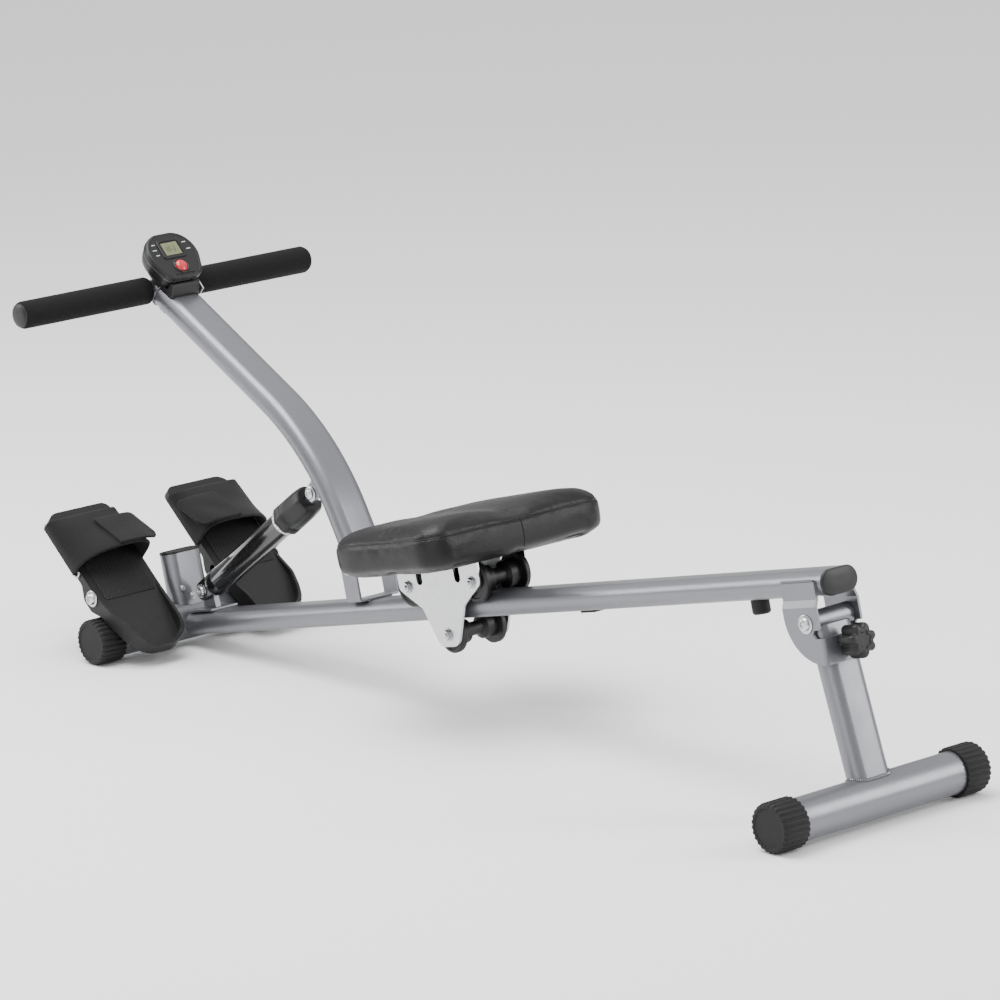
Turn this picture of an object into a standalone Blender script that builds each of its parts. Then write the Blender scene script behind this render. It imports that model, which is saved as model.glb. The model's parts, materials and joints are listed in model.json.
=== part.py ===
"""Folding rowing machine with one hydraulic cylinder and one swinging handle arm.

World frame in metres, +Z up, floor at Z = 0. X runs from the front foot towards the rear
foot, Y runs across the machine, and the origin is on the floor under the middle of its
length. The "machine" frame has its own origin on the floor under the front foot's axis.
Most pieces are laid out on the sloping main rail: "along" is the distance up the rail from
above the front foot, and "height" is the distance above the rail's centre line.
"""

import math

import bmesh
import bpy
from mathutils import Matrix, Vector

# Clearances
GAP = 0.0003  # between pieces that rest on, or are welded to, each other
PIN_CLEARANCE = 0.0003  # radial, between a pin and its bore
SIDE_CLEARANCE = 0.0006  # between a swinging piece and the cheek beside it

# Facets of round pieces
TUBE_STEPS = 28
PIN_STEPS = 12
END_STEPS = 8  # each rounded side of a flat-sided tube
CORNER_STEPS = 3

# Floor feet: a round cross tube with a ribbed cap on each end
FOOT_TUBE_RADIUS = 0.0255
FOOT_TUBE_WALL = 0.002
FOOT_SPAN = 0.330
CAP_WALL = 0.0045
CAP_RADIUS = FOOT_TUBE_RADIUS + CAP_WALL
CAP_LENGTH = 0.038
CAP_FACE = 0.004
CAP_CHAMFER = 0.004
CAP_RIBS = 26
CAP_RIB_DEPTH = 0.0016
CAP_RIB_TOP = 0.56  # share of the rib pitch
CAP_RIB_FOOT = 0.76

# Main rail: flat-sided tube, wide side across the machine
RAIL_ANGLE = math.radians(11.69)
RAIL_DROP = 0.0053  # centre line below the front foot's axis
RAIL_WIDTH = 0.056
RAIL_HEIGHT = 0.030
RAIL_WALL = 0.002
RAIL_END_ALONG = 1.2495  # outer face of the end cap
RAIL_CAP_LIP = 0.004
RAIL_CAP_PLUG = 0.020

# Front post, square to the rail, over the front foot
POST_ALONG = 0.0025
POST_WIDTH = 0.058
POST_DEPTH = 0.030
POST_WALL = 0.002
POST_TOP = 0.0940
POST_CAP_HEIGHT = 0.0032
POST_CAP_RIM = 0.0025
POST_CAP_RECESS = 0.0015
POST_CAP_PLUG = 0.012

# Pedals and the axle that carries them through the post
PEDAL_AXLE_HEIGHT = 0.061
PEDAL_AXLE_RADIUS = 0.006
PEDAL_ANGLE = math.radians(42)  # heel end below the toe end
PEDAL_OUTER = 0.150
PEDAL_INNER = 0.048
PEDAL_HEEL_OUTER = 0.130
PEDAL_HEEL_INNER = 0.062
PEDAL_TOE = 0.135  # from the axle
PEDAL_HEEL = 0.100
PEDAL_TOP = 0.008  # foot surface above the axle
PEDAL_SKIN = 0.005
PEDAL_WALL = 0.004
PEDAL_RIM_RISE = 0.013
PEDAL_BOSS_RADIUS = 0.016
PEDAL_TUNNEL = 0.010
AXLE_HEAD_RADIUS = 0.009
AXLE_HEAD_LENGTH = 0.006

# Foot straps and the wire rings that hold them
STRAP_THICKNESS = 0.003
STRAP_TOE_START = -0.120
STRAP_TOE_END = -0.040
FLAP_START = -0.100
FLAP_END = -0.042
FLAP_OVERLAP = 0.052  # from the pedal's inner edge outwards
FLAP_TAIL = 0.012  # past the pedal's inner edge
TOE_EDGE_RISE = 0.014  # strap above the foot surface's level, at its toe edge
HEEL_EDGE_RISE = 0.046
RING_WIRE = 0.0015

# Handle arm: flat-sided tube, hinged on the rail, bent forwards to the handlebar
ARM_PIVOT_ALONG = 0.394
ARM_PIVOT_HEIGHT = 0.062
ARM_LEAN = math.radians(29.5)
ARM_BEND = math.radians(32.2)
ARM_BEND_RADIUS = 0.330
ARM_BEND_STEPS = 8
ARM_LOWER = 0.0668
ARM_UPPER = 0.253
ARM_WIDTH = 0.057
ARM_DEPTH = 0.029
ARM_WALL = 0.002
ARM_START = 0.003
ARM_SLEEVE_RADIUS = 0.011
ARM_BOLT_RADIUS = 0.005
ARM_BRACKET_LENGTH = 0.028
BRACKET_SHEET = 0.003
BRACKET_FOLD = 0.004

# Handlebar and grips
BAR_RADIUS = 0.0127
BAR_WALL = 0.002
BAR_HALF = 0.231
GRIP_RADIUS = 0.0177
GRIP_START = 0.030
GRIP_EDGE = 0.003
PLUG_HEAD = 0.0033
PLUG_HEAD_RADIUS = 0.0155
PLUG_STEM = 0.018

# Hydraulic cylinder between the rail and the arm
CYLINDER_ALONG = 0.0535
CYLINDER_HEIGHT = 0.0415
CYLINDER_PIN_RADIUS = 0.004
BARREL_RADIUS = 0.017
BARREL_WALL = 0.002
BARREL_BORE = BARREL_RADIUS - BARREL_WALL
BARREL_START = 0.014
BARREL_TOP = 0.215
BARREL_FLOOR = 0.010
BARREL_HEAD = 0.010
FORK_RADIUS = 0.0125
FORK_HALF = 0.0125
LUG_HALF = 0.004
LUG_RADIUS = 0.010
BASE_PLATE_LENGTH = 0.050
BASE_PLATE_WIDTH = 0.044
SCALE_WALL = 0.002  # with its clearance
SCALE_RADIUS = BARREL_RADIUS + SCALE_WALL
SCALE_LENGTH = 0.0055
KNOB_WALL = 0.005  # with its clearance
KNOB_RADIUS = BARREL_RADIUS + KNOB_WALL
KNOB_LENGTH = 0.060
KNOB_LOBES = 8
KNOB_LOBE_DEPTH = 0.0012
KNOB_SLEEVE = 0.006
ROD_RADIUS = 0.006
PISTON_START = 0.060
PISTON_LENGTH = 0.012
PISTON_CLEARANCE = 0.0003
TONGUE_LENGTH = 0.026
TONGUE_HALF = 0.0069
TONGUE_DEPTH = 0.008
TONGUE_PAST_PIN = 0.009
NOTCH_BEHIND = 0.0045
NOTCH_AHEAD = 0.0068
EAR_ANGLE = math.radians(8.84)  # around the arm's bend
EAR_REACH = 0.0247  # pin to the arm's front face
EAR_TIP_RADIUS = 0.010
EAR_LENGTH = 0.030
EAR_INNER = 0.008

# Console: origin on its face at the centre of the display
CONSOLE_ALONG = -0.0087  # down the arm from the handlebar's axis
CONSOLE_ABOVE = 0.0550
CONSOLE_TILT = math.radians(16.7)
CONSOLE_TOP = 0.0258
CONSOLE_BOTTOM = 0.0453
CONSOLE_HALF_TOP = 0.026
CONSOLE_HALF = 0.0415
CONSOLE_HALF_BOTTOM = 0.027
CONSOLE_DEPTH = 0.030
DISPLAY_WIDTH = 0.025
DISPLAY_HEIGHT = 0.0195
DISPLAY_DEPTH = 0.0025
BUTTON_ALONG = 0.028
BUTTON_RADIUS = 0.009
BUTTON_RISE = 0.004
BUTTON_WELL = 0.005
BUTTON_TRAVEL = 0.0015
NECK_HALF = 0.022

# Seat carriage on the rail
CARRIAGE_ALONG = 0.5793
ROLLER_PITCH = 0.1237
UPPER_ROLLER_RADIUS = 0.0167
UPPER_FLANGE_DEPTH = 0.0093
UPPER_FLANGE_RADIUS = UPPER_ROLLER_RADIUS + UPPER_FLANGE_DEPTH
LOWER_ROLLER_RADIUS = 0.0152
LOWER_FLANGE_DEPTH = 0.0088
LOWER_FLANGE_RADIUS = LOWER_ROLLER_RADIUS + LOWER_FLANGE_DEPTH
FLANGE_WIDTH = 0.0077
WAIST_DEPTH = 0.0065  # the roller's middle below its tread
WAIST_HALF = 0.009
TREAD_START = 0.013
CARRIAGE_PIN_RADIUS = 0.004
PLATE_CLEARANCE = 0.001
PLATE_SHEET = 0.003
PLATE_HALF_LENGTH = 0.079
UPPER_AXLE_HEIGHT = RAIL_HEIGHT / 2 + GAP + UPPER_ROLLER_RADIUS
PLATE_TOP = UPPER_AXLE_HEIGHT + UPPER_FLANGE_RADIUS + PLATE_CLEARANCE + PLATE_SHEET
PLATE_SHOULDER = PLATE_TOP - 0.033
PLATE_WAIST_HEIGHT = 0.0036
PLATE_WAIST = 0.040
PLATE_FOOT_RADIUS = 0.015
SLOT_OFFSET = 0.037
SLOT_WIDTH = 0.011
SLOT_BOTTOM = PLATE_TOP - 0.029
SLOT_TOP = PLATE_TOP - 0.007

# Seat
SEAT_FRONT = 0.101
SEAT_SIDE_FRONT = 0.071
SEAT_REAR = 0.133
SEAT_HALF = 0.149
SEAT_NOSE_HALF = 0.088
SEAT_THICKNESS = 0.056
BOARD_THICKNESS = 0.012
BOARD_SHARE = 0.86

# Stops on the rail
FRONT_STOP_LENGTH = 0.026
FRONT_STOP_HALF = 0.012
FRONT_STOP_TALL = 0.0227
REAR_STOP_ALONG = RAIL_END_ALONG - 0.1405
REAR_STOP_RADIUS = 0.011
REAR_STOP_TALL = 0.018
PLUG_ALONG = 0.813

# Folding rear leg and its bracket
LEG_PIVOT_ALONG = RAIL_END_ALONG - 0.0325
LEG_PIVOT_DROP = 0.043  # below the rail's centre line
LEG_RAKE = math.radians(18.1)
LEG_WIDTH = 0.056
LEG_DEPTH = 0.029
LEG_WALL = 0.002
LEG_START = 0.006
LEG_SLEEVE_RADIUS = 0.0135
LEG_SLEEVE_HALF = 0.031
LEG_BOLT_RADIUS = 0.005
LEG_BRACKET_FRONT = 0.0347  # from the pivot forwards
LEG_BRACKET_REAR = 0.0243
LEG_BRACKET_CURVE = 0.059
LEG_BRACKET_TOP = 0.004  # above the rail's centre line
LEG_CHEEK_STRAIGHT = 0.033
JOGGLE_LOW = 0.024
JOGGLE_HIGH = 0.016
WEB_TOP = 0.061
RELIEF_WIDTH = 0.012
RELIEF_HEIGHT = 0.010

# Lock knob that clamps the rear leg
LOCK_DROP = 0.070
LOCK_RADIUS = 0.021
LOCK_LENGTH = 0.026
LOCK_STANDOFF = 0.0055
LOCK_LOBES = 7
LOCK_LOBE_DEPTH = 0.005
LOCK_SCREW_RADIUS = 0.005


def on_axis(axis, u, v, w):
    """Point (u, v) of a cross-section at distance w along the given axis."""
    if axis == "X":
        return Vector((w, u, v))
    if axis == "Y":
        return Vector((u, w, v))
    return Vector((u, v, w))


def circle(radius, steps=TUBE_STEPS):
    turns = [math.tau * step / steps for step in range(steps)]
    return [(radius * math.cos(t), radius * math.sin(t)) for t in turns]


def stadium(width, height, steps=END_STEPS):
    """Outline of a flat-sided tube: width along u, rounded over its full height."""
    radius = height / 2
    reach = width / 2 - radius
    points = []
    for side in (1, -1):
        for step in range(steps + 1):
            turn = side * math.pi / 2 * (2 * step / steps - 1) if side > 0 else 0
            if side < 0:
                turn = math.pi / 2 + math.pi * step / steps
            points.append((side * reach + radius * math.cos(turn), radius * math.sin(turn)))
    return points


def upright(outline):
    """The same outline with its long side along v."""
    return [(-v, u) for u, v in outline]


def scaled(outline, share, centre=(0.0, 0.0)):
    return [
        (centre[0] + (u - centre[0]) * share, centre[1] + (v - centre[1]) * share)
        for u, v in outline
    ]


def rounded(corners, steps=CORNER_STEPS):
    """Polygon through (u, v, radius) corners, each turned by an arc of its radius."""
    points = []
    for index, (u, v, radius) in enumerate(corners):
        corner = Vector((u, v))
        if radius == 0:
            points.append((u, v))
            continue
        before = (Vector(corners[index - 1][:2]) - corner).normalized()
        after = (Vector(corners[(index + 1) % len(corners)][:2]) - corner).normalized()
        half = before.angle(after) / 2
        centre = corner + (before + after).normalized() * (radius / math.sin(half))
        start = corner + before * (radius / math.tan(half)) - centre
        turn = math.pi - 2 * half
        if before.cross(after) > 0:
            turn = -turn
        for step in range(steps + 1):
            points.append(tuple(centre + Matrix.Rotation(turn * step / steps, 2) @ start))
    return points


def lobed(radius, depth, lobes, steps=6):
    """Outline of a knob whose rim waves in and out."""
    count = lobes * steps
    points = []
    for step in range(count):
        turn = math.tau * step / count
        reach = radius - depth * (1 - math.cos(lobes * turn)) / 2
        points.append((reach * math.cos(turn), reach * math.sin(turn)))
    return points


def loft(rings, closed=False):
    """Skin equal-sized point rings; cap both ends, or join the last ring to the first."""
    bm = bmesh.new()
    loops = [[bm.verts.new(point) for point in ring] for ring in rings]
    pairs = list(zip(loops, loops[1:]))
    if closed:
        pairs.append((loops[-1], loops[0]))
    else:
        bm.faces.new(loops[0])
        bm.faces.new(loops[-1])
    for low, high in pairs:
        for index in range(len(low)):
            after = (index + 1) % len(low)
            bm.faces.new((low[index], low[after], high[after], high[index]))
    bmesh.ops.recalc_face_normals(bm, faces=bm.faces)
    return bm


def stack(axis, levels, closed=False):
    """Skin of (outline, distance) levels along an axis."""
    rings = [[on_axis(axis, u, v, w) for u, v in outline] for outline, w in levels]
    return loft(rings, closed)


def prism(axis, outline, start, end):
    return stack(axis, [(outline, start), (outline, end)])


def pipe(axis, outer, inner, start, end):
    levels = [(outer, start), (outer, end), (inner, end), (inner, start)]
    return stack(axis, levels, closed=True)


def turned(axis, profile, steps=TUBE_STEPS, closed=False):
    """Solid of revolution through (radius, distance) points."""
    return stack(axis, [(circle(radius, steps), w) for radius, w in profile], closed)


def box(size, centre=(0, 0, 0), edge=0.0):
    bm = bmesh.new()
    bmesh.ops.create_cube(bm, size=1)
    bmesh.ops.scale(bm, vec=size, verts=bm.verts)
    if edge:
        bmesh.ops.bevel(
            bm, geom=bm.edges[:], offset=edge, segments=2, profile=0.5, affect="EDGES"
        )
    bmesh.ops.translate(bm, vec=centre, verts=bm.verts)
    return bm


def place(name, bm, parent=None, location=(0, 0, 0), rotation=(0, 0, 0)):
    mesh = bpy.data.meshes.new(name)
    bm.to_mesh(mesh)
    bm.free()
    mesh.shade_smooth()
    mesh.set_sharp_from_angle(angle=math.radians(35))
    obj = bpy.data.objects.new(name, mesh)
    bpy.context.scene.collection.objects.link(obj)
    obj.parent = parent
    obj.location = location
    obj.rotation_euler = rotation
    return obj


def node(name, bm, material, parent=None, location=(0, 0, 0), rotation=(0, 0, 0)):
    obj = place(name, bm, parent, location, rotation)
    obj.data.materials.append(material)
    return obj


def helper(name, bm, parent=None, location=(0, 0, 0), rotation=(0, 0, 0)):
    """A solid that only shapes other pieces."""
    obj = place(name, bm, parent, location, rotation)
    obj.hide_render = True
    obj.display_type = "WIRE"
    return obj


def shape_with(obj, operation, *tools):
    for tool in tools:
        modifier = obj.modifiers.new(tool.name, "BOOLEAN")
        modifier.operation = operation
        modifier.solver = "EXACT"
        modifier.object = tool


def frame(name, parent=None, location=(0, 0, 0), rotation=(0, 0, 0)):
    empty = bpy.data.objects.new(name, None)
    empty.empty_display_size = 0.03
    bpy.context.scene.collection.objects.link(empty)
    empty.parent = parent
    empty.location = location
    empty.rotation_euler = rotation
    return empty


def paint(name, colour, roughness, metallic=0.0):
    """Material from an sRGB hex colour."""
    material = bpy.data.materials.new(name)
    material.use_nodes = True
    shader = material.node_tree.nodes["Principled BSDF"]
    linear = [(int(colour[i : i + 2], 16) / 255) ** 2.2 for i in (1, 3, 5)]
    shader.inputs["Base Color"].default_value = (*linear, 1)
    shader.inputs["Roughness"].default_value = roughness
    shader.inputs["Metallic"].default_value = metallic
    return material


def rail_point(along, height):
    """Point in the machine's frame of a place on the rail's centre plane."""
    start = Vector((0, 0, CAP_RADIUS - RAIL_DROP))
    forward = Vector((math.cos(RAIL_ANGLE), 0, math.sin(RAIL_ANGLE)))
    up = Vector((-math.sin(RAIL_ANGLE), 0, math.cos(RAIL_ANGLE)))
    return start + forward * along + up * height


def bolt(name, parent, location, shank, near, far, head, tall, axis="Y"):
    """Domed bolt with a nut: shank from the near head's seat to the far nut's seat."""
    profile = [
        (head * 0.55, -near - tall),
        (head * 0.9, -near - tall * 0.7),
        (head, -near - tall * 0.3),
        (head, -near),
        (shank, -near),
        (shank, far),
        (head * 0.92, far),
        (head * 0.92, far + tall),
    ]
    return node(name, turned(axis, profile, PIN_STEPS), bright_steel, parent, location)


def bore(name, radius, half, parent, location, axis="Y"):
    steps = PIN_STEPS if radius < 0.008 else TUBE_STEPS
    bm = turned(axis, [(radius, -half), (radius, half)], steps)
    return helper(name, bm, parent, location)


def clear_scene():
    for obj in list(bpy.data.objects):
        bpy.data.objects.remove(obj, do_unlink=True)


clear_scene()

silver_paint = paint("silver powder coat", "#97989c", 0.38, 0.6)
bright_steel = paint("zinc plated steel", "#c9c9cc", 0.28, 1.0)
black_rubber = paint("black rubber", "#1d1d1d", 0.75)
black_plastic = paint("black plastic", "#242424", 0.5)
black_steel = paint("black enamelled steel", "#141414", 0.3, 0.3)
chrome = paint("chromed steel", "#dcdcdc", 0.12, 1.0)
foam = paint("black foam", "#131112", 0.85)
vinyl = paint("black vinyl", "#2b2728", 0.45)
plywood = paint("plywood", "#8a6a45", 0.7)
webbing = paint("black webbing", "#1c1b1b", 0.9)
white_print = paint("white scale ring", "#d8d8d6", 0.5)
red_plastic = paint("red plastic", "#b01c22", 0.35)
display_green = paint("display", "#5f6343", 0.3)

# The machine reaches from the pedals' toe ends to the rear foot's caps.
pedal_axle_at = rail_point(POST_ALONG, PEDAL_AXLE_HEIGHT)
leg_pivot_spot = rail_point(LEG_PIVOT_ALONG, -LEG_PIVOT_DROP)
leg_length = (leg_pivot_spot.z - CAP_RADIUS) / math.cos(LEG_RAKE)
front_reach = pedal_axle_at.x - PEDAL_TOE * math.cos(PEDAL_ANGLE)
rear_reach = leg_pivot_spot.x + leg_length * math.sin(LEG_RAKE) + CAP_RADIUS
machine = frame("machine", None, (-(front_reach + rear_reach) / 2, 0, 0))
rail_line = frame("rail_line", machine, rail_point(0, 0), (0, -RAIL_ANGLE, 0))
FRONT_ALONG = RAIL_DROP * math.sin(RAIL_ANGLE)
FRONT_HEIGHT = RAIL_DROP * math.cos(RAIL_ANGLE)
CAP_BORE = FOOT_TUBE_RADIUS + GAP
COPE_REACH = 0.06


# ---- feet
def foot_tube(name, parent, location):
    half = FOOT_SPAN / 2 - CAP_FACE - GAP
    inner = FOOT_TUBE_RADIUS - FOOT_TUBE_WALL
    bm = pipe("Y", circle(FOOT_TUBE_RADIUS), circle(inner), -half, half)
    return node(name, bm, silver_paint, parent, location)


def rib_outline():
    """Ribbed rim with one flat rib facing straight down."""
    pitch = math.tau / CAP_RIBS
    points = []
    for rib in range(CAP_RIBS):
        middle = -math.pi / 2 + rib * pitch
        half_top = pitch * CAP_RIB_TOP / 2
        half_foot = pitch * CAP_RIB_FOOT / 2
        top = CAP_RADIUS / math.cos(half_top)
        root = CAP_RADIUS - CAP_RIB_DEPTH
        for turn, radius in (
            (middle - half_foot, root),
            (middle - half_top, top),
            (middle + half_top, top),
            (middle + half_foot, root),
        ):
            points.append((radius * math.cos(turn), radius * math.sin(turn)))
    return points


def foot_cap(name, parent, location, side):
    ribs = rib_outline()
    rim = scaled(ribs, (CAP_RADIUS - CAP_CHAMFER) / CAP_RADIUS)
    bm = stack("Y", [(ribs, 0), (ribs, CAP_LENGTH - CAP_CHAMFER), (rim, CAP_LENGTH)])
    turn = 0 if side > 0 else math.pi
    origin = Vector(location) + Vector((0, side * (FOOT_SPAN / 2 - CAP_LENGTH), 0))
    cap = node(name, bm, black_rubber, parent, origin, (0, 0, turn))
    depth = CAP_LENGTH - CAP_FACE
    hollow = turned("Y", [(CAP_BORE, -0.01), (CAP_BORE, depth)], 24)
    shape_with(cap, "DIFFERENCE", helper(name + "_bore", hollow, parent, origin, (0, 0, turn)))
    return cap


front_axis = (0, 0, CAP_RADIUS)
foot_tube("front_stabilizer_tube", machine, front_axis)
foot_cap("front_cap_left", machine, front_axis, -1)
foot_cap("front_cap_right", machine, front_axis, 1)

# ---- rail and post
rail_tube_end = RAIL_END_ALONG - RAIL_CAP_LIP - GAP
rail_outline = stadium(RAIL_WIDTH, RAIL_HEIGHT)
rail_inside = stadium(RAIL_WIDTH - 2 * RAIL_WALL, RAIL_HEIGHT - 2 * RAIL_WALL)
main_rail = node(
    "main_rail",
    pipe("X", rail_outline, rail_inside, FRONT_ALONG, rail_tube_end),
    silver_paint,
    rail_line,
)
front_cope = helper(
    "front_cope",
    turned("Y", [(CAP_BORE, -COPE_REACH), (CAP_BORE, COPE_REACH)]),
    rail_line,
    (FRONT_ALONG, 0, FRONT_HEIGHT),
)
shape_with(main_rail, "DIFFERENCE", front_cope)

plug_outline = stadium(
    RAIL_WIDTH - 2 * RAIL_WALL - 2 * GAP, RAIL_HEIGHT - 2 * RAIL_WALL - 2 * GAP
)
lip_start = RAIL_END_ALONG - RAIL_CAP_LIP
lip_edge = stadium(RAIL_WIDTH - 0.003, RAIL_HEIGHT - 0.003)
node(
    "rail_end_cap",
    stack(
        "X",
        [
            (plug_outline, lip_start - RAIL_CAP_PLUG),
            (plug_outline, lip_start),
            (rail_outline, lip_start),
            (rail_outline, RAIL_END_ALONG - 0.0015),
            (lip_edge, RAIL_END_ALONG),
        ],
    ),
    black_plastic,
    rail_line,
)

post_outline = upright(stadium(POST_WIDTH, POST_DEPTH))
post_inside = upright(stadium(POST_WIDTH - 2 * POST_WALL, POST_DEPTH - 2 * POST_WALL))
front_post = node(
    "front_post",
    pipe("Z", post_outline, post_inside, FRONT_HEIGHT, POST_TOP),
    silver_paint,
    rail_line,
    (POST_ALONG, 0, 0),
)
axle_bore_radius = PEDAL_AXLE_RADIUS + PIN_CLEARANCE
post_bore = bore(
    "post_bore", axle_bore_radius, COPE_REACH, rail_line, (POST_ALONG, 0, PEDAL_AXLE_HEIGHT)
)
shape_with(front_post, "DIFFERENCE", front_cope, post_bore)

cap_inside = upright(stadium(POST_WIDTH - 2 * POST_CAP_RIM, POST_DEPTH - 2 * POST_CAP_RIM))
cap_plug = upright(
    stadium(POST_WIDTH - 2 * POST_WALL - 2 * GAP, POST_DEPTH - 2 * POST_WALL - 2 * GAP)
)
cap_seat = POST_TOP + GAP
cap_top = cap_seat + POST_CAP_HEIGHT
node(
    "post_cap",
    stack(
        "Z",
        [
            (cap_plug, cap_seat - POST_CAP_PLUG),
            (cap_plug, cap_seat),
            (post_outline, cap_seat),
            (post_outline, cap_top),
            (cap_inside, cap_top),
            (cap_inside, cap_top - POST_CAP_RECESS),
        ],
    ),
    black_plastic,
    rail_line,
    (POST_ALONG, 0, 0),
)

# ---- stops and plug on the rail
rail_top = RAIL_HEIGHT / 2 + GAP
front_stop_rear = CARRIAGE_ALONG - ROLLER_PITCH / 2 - UPPER_ROLLER_RADIUS - GAP
node(
    "front_stop_bumper",
    box((FRONT_STOP_LENGTH, 2 * FRONT_STOP_HALF, FRONT_STOP_TALL), edge=0.002),
    black_rubber,
    rail_line,
    (front_stop_rear - FRONT_STOP_LENGTH / 2, 0, rail_top + FRONT_STOP_TALL / 2),
)
node(
    "rear_stop_bumper",
    turned(
        "Z",
        [
            (REAR_STOP_RADIUS - 0.002, -REAR_STOP_TALL),
            (REAR_STOP_RADIUS, -REAR_STOP_TALL + 0.002),
            (REAR_STOP_RADIUS, 0),
        ],
        24,
    ),
    black_rubber,
    rail_line,
    (REAR_STOP_ALONG, 0, -rail_top),
)
node(
    "under_rail_pad",
    box((0.026, 0.020, 0.003), edge=0.0006),
    black_rubber,
    rail_line,
    (PLUG_ALONG, 0, -rail_top - 0.0015),
)


# ---- brackets folded from sheet
def channel(half_inner, sheet, base, top, fold):
    """Upright U profile in (across, height): open at the top."""
    outer = half_inner + sheet
    floor = base + sheet
    inner_fold = max(fold - sheet, 0.0005)
    return rounded(
        [
            (-outer, top, 0),
            (-outer, base, fold),
            (outer, base, fold),
            (outer, top, 0),
            (half_inner, top, 0),
            (half_inner, floor, inner_fold),
            (-half_inner, floor, inner_fold),
            (-half_inner, top, 0),
        ]
    )


arm_pivot_at = (ARM_PIVOT_ALONG, 0, ARM_PIVOT_HEIGHT)
arm_cheek_inner = ARM_WIDTH / 2 + SIDE_CLEARANCE
arm_cheek_outer = arm_cheek_inner + BRACKET_SHEET
half_bracket = ARM_BRACKET_LENGTH / 2
arm_bracket_top = ARM_PIVOT_HEIGHT + half_bracket
arm_bracket = node(
    "arm_pivot_bracket",
    prism(
        "X",
        channel(arm_cheek_inner, BRACKET_SHEET, rail_top, arm_bracket_top, BRACKET_FOLD),
        -half_bracket,
        half_bracket,
    ),
    silver_paint,
    rail_line,
    (ARM_PIVOT_ALONG, 0, 0),
)
arm_bracket_side = rounded(
    [
        (-half_bracket, rail_top - 0.001, 0),
        (half_bracket, rail_top - 0.001, 0),
        (half_bracket, arm_bracket_top, half_bracket * 0.99),
        (-half_bracket, arm_bracket_top, half_bracket * 0.99),
    ],
    END_STEPS,
)
shape_with(
    arm_bracket,
    "INTERSECT",
    helper(
        "arm_bracket_side",
        prism("Y", arm_bracket_side, -COPE_REACH, COPE_REACH),
        rail_line,
        (ARM_PIVOT_ALONG, 0, 0),
    ),
)
arm_bore_radius = ARM_BOLT_RADIUS + PIN_CLEARANCE
shape_with(
    arm_bracket,
    "DIFFERENCE",
    bore("arm_bracket_bore", arm_bore_radius, COPE_REACH, rail_line, arm_pivot_at),
)
bolt(
    "arm_pivot_bolt",
    rail_line,
    arm_pivot_at,
    ARM_BOLT_RADIUS,
    arm_cheek_outer + GAP,
    arm_cheek_outer + GAP,
    0.0085,
    0.005,
)

# ---- rear leg bracket: cheeks welded to the rail's sides, folded round behind the leg
leg_pivot_at = (LEG_PIVOT_ALONG, 0, -LEG_PIVOT_DROP)
cheek_inner_low = LEG_SLEEVE_HALF + SIDE_CLEARANCE
cheek_inner_high = RAIL_WIDTH / 2 + GAP
leg_cheek_outer = cheek_inner_low + BRACKET_SHEET
bracket_rear = LEG_PIVOT_ALONG + LEG_BRACKET_REAR
bracket_front = LEG_PIVOT_ALONG - LEG_BRACKET_FRONT
bracket_bottom = -LEG_CHEEK_STRAIGHT - LEG_BRACKET_CURVE


def leg_channel(inner):
    """Plan of the bracket in (along, across), open towards the front."""
    outer = inner + BRACKET_SHEET
    web = bracket_rear - BRACKET_SHEET
    fold = BRACKET_FOLD
    return rounded(
        [
            (bracket_front, -outer, 0),
            (bracket_rear, -outer, fold),
            (bracket_rear, outer, fold),
            (bracket_front, outer, 0),
            (bracket_front, inner, 0),
            (web, inner, fold - BRACKET_SHEET),
            (web, -inner, fold - BRACKET_SHEET),
            (bracket_front, -inner, 0),
        ]
    )


leg_bracket = node(
    "rear_leg_bracket",
    stack(
        "Z",
        [
            (leg_channel(cheek_inner_low), bracket_bottom - 0.002),
            (leg_channel(cheek_inner_low), -JOGGLE_LOW),
            (leg_channel(cheek_inner_high), -JOGGLE_HIGH),
            (leg_channel(cheek_inner_high), LEG_BRACKET_TOP + 0.002),
        ],
    ),
    silver_paint,
    rail_line,
)
cheek_rear = bracket_rear - BRACKET_SHEET - GAP
relief = (WEB_TOP - RELIEF_HEIGHT, WEB_TOP)
leg_bracket_side = [
    (bracket_front, LEG_BRACKET_TOP),
    (bracket_front, -LEG_CHEEK_STRAIGHT),
]
for step in range(1, 13):
    turn = math.pi / 2 * step / 12
    leg_bracket_side.append(
        (
            bracket_front + LEG_BRACKET_CURVE * (1 - math.cos(turn)),
            -LEG_CHEEK_STRAIGHT - LEG_BRACKET_CURVE * math.sin(turn),
        )
    )
leg_bracket_side += [
    (bracket_rear + 0.001, bracket_bottom),
    (bracket_rear + 0.001, -relief[1]),
    (cheek_rear - RELIEF_WIDTH * 0.7, -relief[1]),
    (cheek_rear - RELIEF_WIDTH, -(relief[0] + relief[1]) / 2),
    (cheek_rear - RELIEF_WIDTH * 0.7, -relief[0]),
    (cheek_rear, -relief[0]),
    (cheek_rear, LEG_BRACKET_TOP),
]
shape_with(
    leg_bracket,
    "INTERSECT",
    helper("leg_bracket_side", prism("Y", leg_bracket_side, -COPE_REACH, COPE_REACH), rail_line),
)
leg_bore_radius = LEG_BOLT_RADIUS + PIN_CLEARANCE
lock_at = (bracket_rear, 0, -LOCK_DROP)
lock_bore_radius = LOCK_SCREW_RADIUS + PIN_CLEARANCE
shape_with(
    leg_bracket,
    "DIFFERENCE",
    bore("leg_bracket_bore", leg_bore_radius, COPE_REACH, rail_line, leg_pivot_at),
    bore("lock_bore", lock_bore_radius, 0.010, rail_line, lock_at, "X"),
)
bolt(
    "leg_pivot_bolt",
    rail_line,
    leg_pivot_at,
    LEG_BOLT_RADIUS,
    leg_cheek_outer + GAP,
    leg_cheek_outer + GAP,
    0.0085,
    0.0055,
)

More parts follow.
